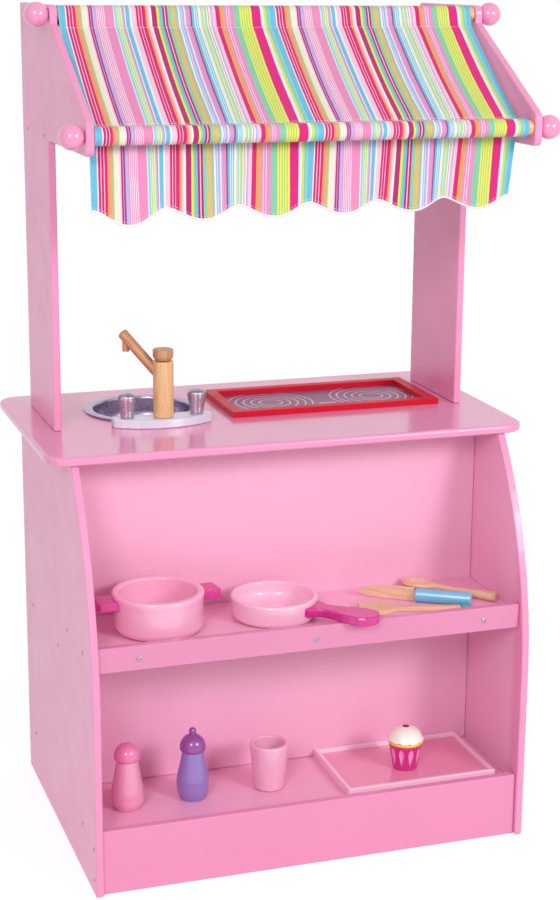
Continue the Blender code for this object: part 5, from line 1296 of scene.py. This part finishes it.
def turn_tap():
    r = 0.0138
    high = 0.0760
    edge = 0.0014
    base = foot_of("tap_column")
    cap_bore = TAP_SPINDLE_RADIUS + FIT_GAP
    cap_bore_floor = 0.0672
    pin_bore = 0.0043
    pin_bore_top = 0.0223
    turned_piece("tap_column", "beech_tap_column", [
        (0.0, cap_bore_floor), (cap_bore, cap_bore_floor), (cap_bore, high),
        *arc((r - edge, high - edge), edge, 90.0, 0.0, 6),
        *arc((r - edge, edge), edge, 0.0, -90.0, 6),
        (pin_bore, 0.0), (pin_bore, pin_bore_top), (0.0, pin_bore_top),
    ], place=base)

    lean = math.radians(45.0)
    turn = math.radians(52.0)
    level = Vector((-math.sin(turn), math.cos(turn), 0.0))
    heading = level * math.cos(lean) + Vector((0.0, 0.0, math.sin(lean)))
    spout_height = 0.0503
    spout_reach = 0.060
    spout_bite = 0.0090
    middle = base + Vector((0.0, 0.0, spout_height))
    start = middle + heading * ((r - spout_bite) / math.cos(lean))
    length = (middle + heading * (spout_reach / math.cos(lean)) - start).length
    s = 0.0071
    nose = 0.0035
    turned_piece("tap_spout", "beech_tap_spout", [
        (0.0, length), *arc((s - nose, length - nose), nose, 90.0, 0.0, 10), (s, 0.0), (0.0, 0.0),
    ], place=start, turn=heading.to_track_quat("Z", "Y"), steps=64)

    n = 0.0048
    corner = 0.0009
    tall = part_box("tap_nozzle")[1][2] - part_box("tap_nozzle")[0][2]
    turned_piece("tap_nozzle", "beech_tap_nozzle", [
        (0.0, tall), (n, tall), *arc((n - corner, corner), corner, 0.0, -90.0, 5), (0.0028, 0.0),
        (0.0026, 0.0004), (0.0025, 0.0040), (0.0, 0.0040),
    ], steps=48)

    h = 0.0148
    chamfer = 0.0045
    spindle = -0.0092
    cap = foot_of("tap_cap") + Vector((0.0, 0.0, -spindle))
    turned_piece("tap_cap", "beech_tap_cap", [
        (0.0, h), *arc((r - edge, h - edge), edge, 90.0, 0.0, 6), (r, chamfer + 0.0004),
        (r - 0.0003, chamfer - 0.0004), (r - chamfer * 0.62 + 0.0002, 0.0003),
        (r - chamfer * 0.62 - 0.0003, 0.0),
        (TAP_SPINDLE_RADIUS, 0.0), (TAP_SPINDLE_RADIUS, spindle), (0.0, spindle),
    ], place=cap)

    wide = 0.0128
    foot = 0.0092
    tall = 0.0345
    bore = 0.0033
    bore_top = 0.0183
    for side in ("left", "right"):
        turned_piece("tap_knob_" + side, "silver_tap_knob_" + side, [
            (0.0, tall), *eased([
                (wide * 0.2, tall * 0.998), (wide * 0.45, tall * 0.985), (wide * 0.78, tall * 0.93),
                (wide * 0.95, tall * 0.865), (wide, tall * 0.80), (wide * 0.965, tall * 0.66),
                (foot + (wide - foot) * 0.25, tall * 0.28), (foot, 0.0011),
            ]),
            (foot - 0.0004, 0.0003), (foot - 0.0011, 0.0), (bore, 0.0), (bore, bore_top), (0.0, bore_top),
        ], steps=64)


def turn_sink():
    inner = 0.068
    floor = 0.042
    corner = inner - floor
    depth = 0.042
    fall = depth - corner
    lip = 0.0025
    rim = 0.081
    place = foot_of("sink_bowl")
    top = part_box("sink_bowl")[1][2] - lip
    turned_piece("sink_bowl", "spun_sink_bowl", [
        (0.0, -depth), (floor * 0.5, -depth), *arc((floor, -fall), corner, -90.0, -4.0, 20),
        (inner, -0.0010), (inner + 0.0003, lip * 0.55), (inner + 0.0008, lip * 0.88), (inner + 0.0016, lip),
        (rim - 0.0014, lip), (rim - 0.0005, lip * 0.86), (rim - 0.0001, lip * 0.5), (rim, 0.0003),
        (inner + 0.002, 0.0003), *arc((floor, -fall), corner + 0.002, 0.0, -90.0, 12), (0.0, -depth - 0.002),
    ], place=Vector((place.x, place.y, top)), steps=144)


def turn_awning_ends():
    """Ball knobs on the rods' ends, and the rods with their turned-down spigots."""
    ball = 0.0155
    flat_radius = 0.0060
    flat = math.degrees(math.asin(flat_radius / ball))
    base = -ball * math.cos(math.radians(flat))
    for row in ("top", "front"):
        for side, sign in (("left", -1.0), ("right", 1.0)):
            name = "ball_knob_" + row + "_" + side
            low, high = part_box(name)
            middle = node_middle(name)
            x = high[0] - ball if sign > 0.0 else low[0] + ball
            turned_piece(name, "turned_" + name, [
                (0.0, ball), *arc((0.0, 0.0), ball, 86.0, -90.0 + flat, 40), (0.0, base),
            ], place=(x, middle.y, middle.z), turn=Vector((sign, 0.0, 0.0)).to_track_quat("Z", "Y"), steps=64)
        name = "awning_rod_" + row
        low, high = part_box(name)
        tip = high[0]
        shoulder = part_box("upper_board_right")[0][0] - FIT_GAP
        r = (high[2] - low[2]) / 2.0
        half = [
            (ROD_SPIGOT_RADIUS, tip), (ROD_SPIGOT_RADIUS, shoulder),
            (r - 0.0008, shoulder), (r, shoulder - 0.0008),
        ]
        turned_piece(name, "turned_" + name, [
            (0.0, tip), *half, *[(radius, -x) for radius, x in reversed(half)], (0.0, -tip),
        ], place=(0.0, *rod_place(name)), turn=Vector((1.0, 0.0, 0.0)).to_track_quat("Z", "Y"), steps=64)


# Small fixings on the boards


def make_screw_heads():
    """Countersunk cross-head screws in the outer faces of the side panels and upper boards."""
    finish = painted("painted_screw_head", toned(card("board pink"), 0.82), 0.4, 0.1, 0.0)
    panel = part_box("side_panel_left")[0][0]
    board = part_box("upper_board_left")[0][0]
    work = bmesh.new()
    for side in (-1, 1):
        for face, spots in ((panel, PANEL_SCREWS), (board, UPPER_BOARD_SCREWS)):
            for y, z in spots:
                screw_head(work, Vector((-side * face, y, z)), side)
    place_mesh("board_screw_heads", work, finish, "kitchen", 30.0)


def screw_head(work, place, side):
    """Shallow dome with a cross recess, laid on the board's face."""
    radius = SCREW_HEAD_RADIUS
    rings = (0.12, 0.30, 0.46, 0.62, 0.80, 0.94, 1.0)
    around = 24
    middle = work.verts.new(place + Vector((side * 0.0001, 0.0, 0.0)))
    rows = []
    for share in rings:
        row = []
        for j in range(around):
            a = 2.0 * math.pi * j / around
            y = radius * share * math.cos(a)
            z = radius * share * math.sin(a)
            height = 0.0007 * math.sqrt(max(0.0, 1.0 - share**2)) + 0.0001
            if min(abs(y), abs(z)) < radius * 0.13 and share < 0.6:
                height -= 0.0006
            row.append(work.verts.new(place + Vector((side * height, y, z))))
        rows.append(row)
    for j in range(around):
        work.faces.new((middle, rows[0][j], rows[0][(j + 1) % around]))
    for near, far in zip(rows, rows[1:]):
        for j in range(around):
            k = (j + 1) % around
            work.faces.new((near[j], far[j], far[k], near[k]))


# Floor, light and camera

FLOOR_REACH = 30.0
FLOOR_LIFT = 0.52
FLOOR_FADE = (0.9, 2.2)
SKY_FILL = 0.55


def make_stage():
    """Plain pale floor that reads as white to the camera and keeps the kitchen's shadow."""
    work = bmesh.new()
    bmesh.ops.create_grid(work, x_segments=8, y_segments=8, size=FLOOR_REACH)
    floor = show("pale_floor", mesh_of("pale_floor", work))
    made = bpy.data.materials.new("pale_floor")
    made.use_nodes = True
    bench = Bench(made.node_tree)
    nodes = made.node_tree.nodes
    nodes.remove(nodes["Principled BSDF"])
    leave = nodes["Material Output"]
    matt = bench.add("ShaderNodeBsdfDiffuse")
    mottled = bench.noise(bench.here(), 2.0, 3.0)
    bench.feed(matt.inputs["Color"], bench.mix(mottled, (0.78, 0.78, 0.78, 1.0), (0.82, 0.82, 0.82, 1.0)))
    path = bench.add("ShaderNodeLightPath")
    parts = bench.parts(bench.here())
    flat = bench.fill(bench.add("ShaderNodeCombineXYZ"), parts[0], parts[1])
    away = bench.spread(bench.vector("LENGTH", flat), *FLOOR_FADE, kind="SMOOTHSTEP")
    near = bench.fill(bench.add("ShaderNodeAddShader"), matt.outputs[0], bench.glow(FLOOR_LIFT))
    seen = bench.mix_shaders(away, near, bench.glow(1.0))
    shown = bench.math("MAXIMUM", path.outputs["Is Camera Ray"], path.outputs["Is Glossy Ray"])
    bench.feed(leave.inputs["Surface"], bench.mix_shaders(shown, matt.outputs[0], seen))
    floor.data.materials.append(made)


def make_sky():
    world = bpy.data.worlds.new("soft_white_studio")
    bpy.context.scene.world = world
    world.use_nodes = True
    bench = Bench(world.node_tree)
    nodes = world.node_tree.nodes
    white = (1.0, 1.0, 1.0, 1.0)
    backdrop = bench.dress(nodes["Background"], Color=white, Strength=1.0)
    fill = bench.dress(bench.add("ShaderNodeBackground"), Color=white, Strength=SKY_FILL)
    path = bench.add("ShaderNodeLightPath")
    seen = bench.math("MAXIMUM", path.outputs["Is Camera Ray"], path.outputs["Is Glossy Ray"])
    seen = bench.math("MAXIMUM", seen, path.outputs["Is Transmission Ray"])
    both = bench.mix_shaders(seen, fill, backdrop)
    bench.feed(nodes["World Output"].inputs["Surface"], both)


def softbox(name, place, aim, size, power):
    light = bpy.data.lights.new(name, "AREA")
    light.shape = "DISK"
    light.size = size
    light.energy = power
    made = show(name, light)
    made.location = place
    made.rotation_mode = "QUATERNION"
    made.rotation_quaternion = (Vector(aim) - Vector(place)).to_track_quat("-Z", "Y")


def make_lights():
    middle = (0.0, 0.0, 0.55)
    softbox("softbox_left", (-1.7, -2.8, 2.1), middle, 1.0, 39.0)
    softbox("softbox_right", (1.5, -2.85, 1.8), middle, 0.9, 43.0)


def make_camera():
    yaw = math.radians(CAMERA_YAW)
    pitch = math.radians(CAMERA_PITCH)
    roll = math.radians(CAMERA_ROLL)
    ahead = Vector((math.sin(yaw) * math.cos(pitch), math.cos(yaw) * math.cos(pitch), -math.sin(pitch)))
    right = Vector((math.cos(yaw), -math.sin(yaw), 0.0))
    up = right.cross(ahead)
    turned_right = right * math.cos(roll) + up * math.sin(roll)
    turned_up = up * math.cos(roll) - right * math.sin(roll)
    data = bpy.data.cameras.new("photo_camera")
    data.lens = CAMERA_LENS
    data.sensor_width = CAMERA_SENSOR
    made = show("photo_camera", data)
    turn = Matrix((turned_right, turned_up, -ahead)).transposed()
    made.matrix_world = Matrix.Translation(CAMERA_PLACE) @ turn.to_4x4()
    bpy.context.scene.camera = made


make_stage()
make_sky()
make_lights()
make_camera()
dress_boards()
dress_wood()
dress_small_paint()
dress_metal()
dress_hob_plate()
turn_pot()
turn_pan()
turn_cup()
turn_shakers()
turn_cupcake()
turn_tap()
turn_sink()
turn_awning_ends()
make_awning()
make_screw_heads()
bpy.context.scene.view_settings.view_transform = "Standard"
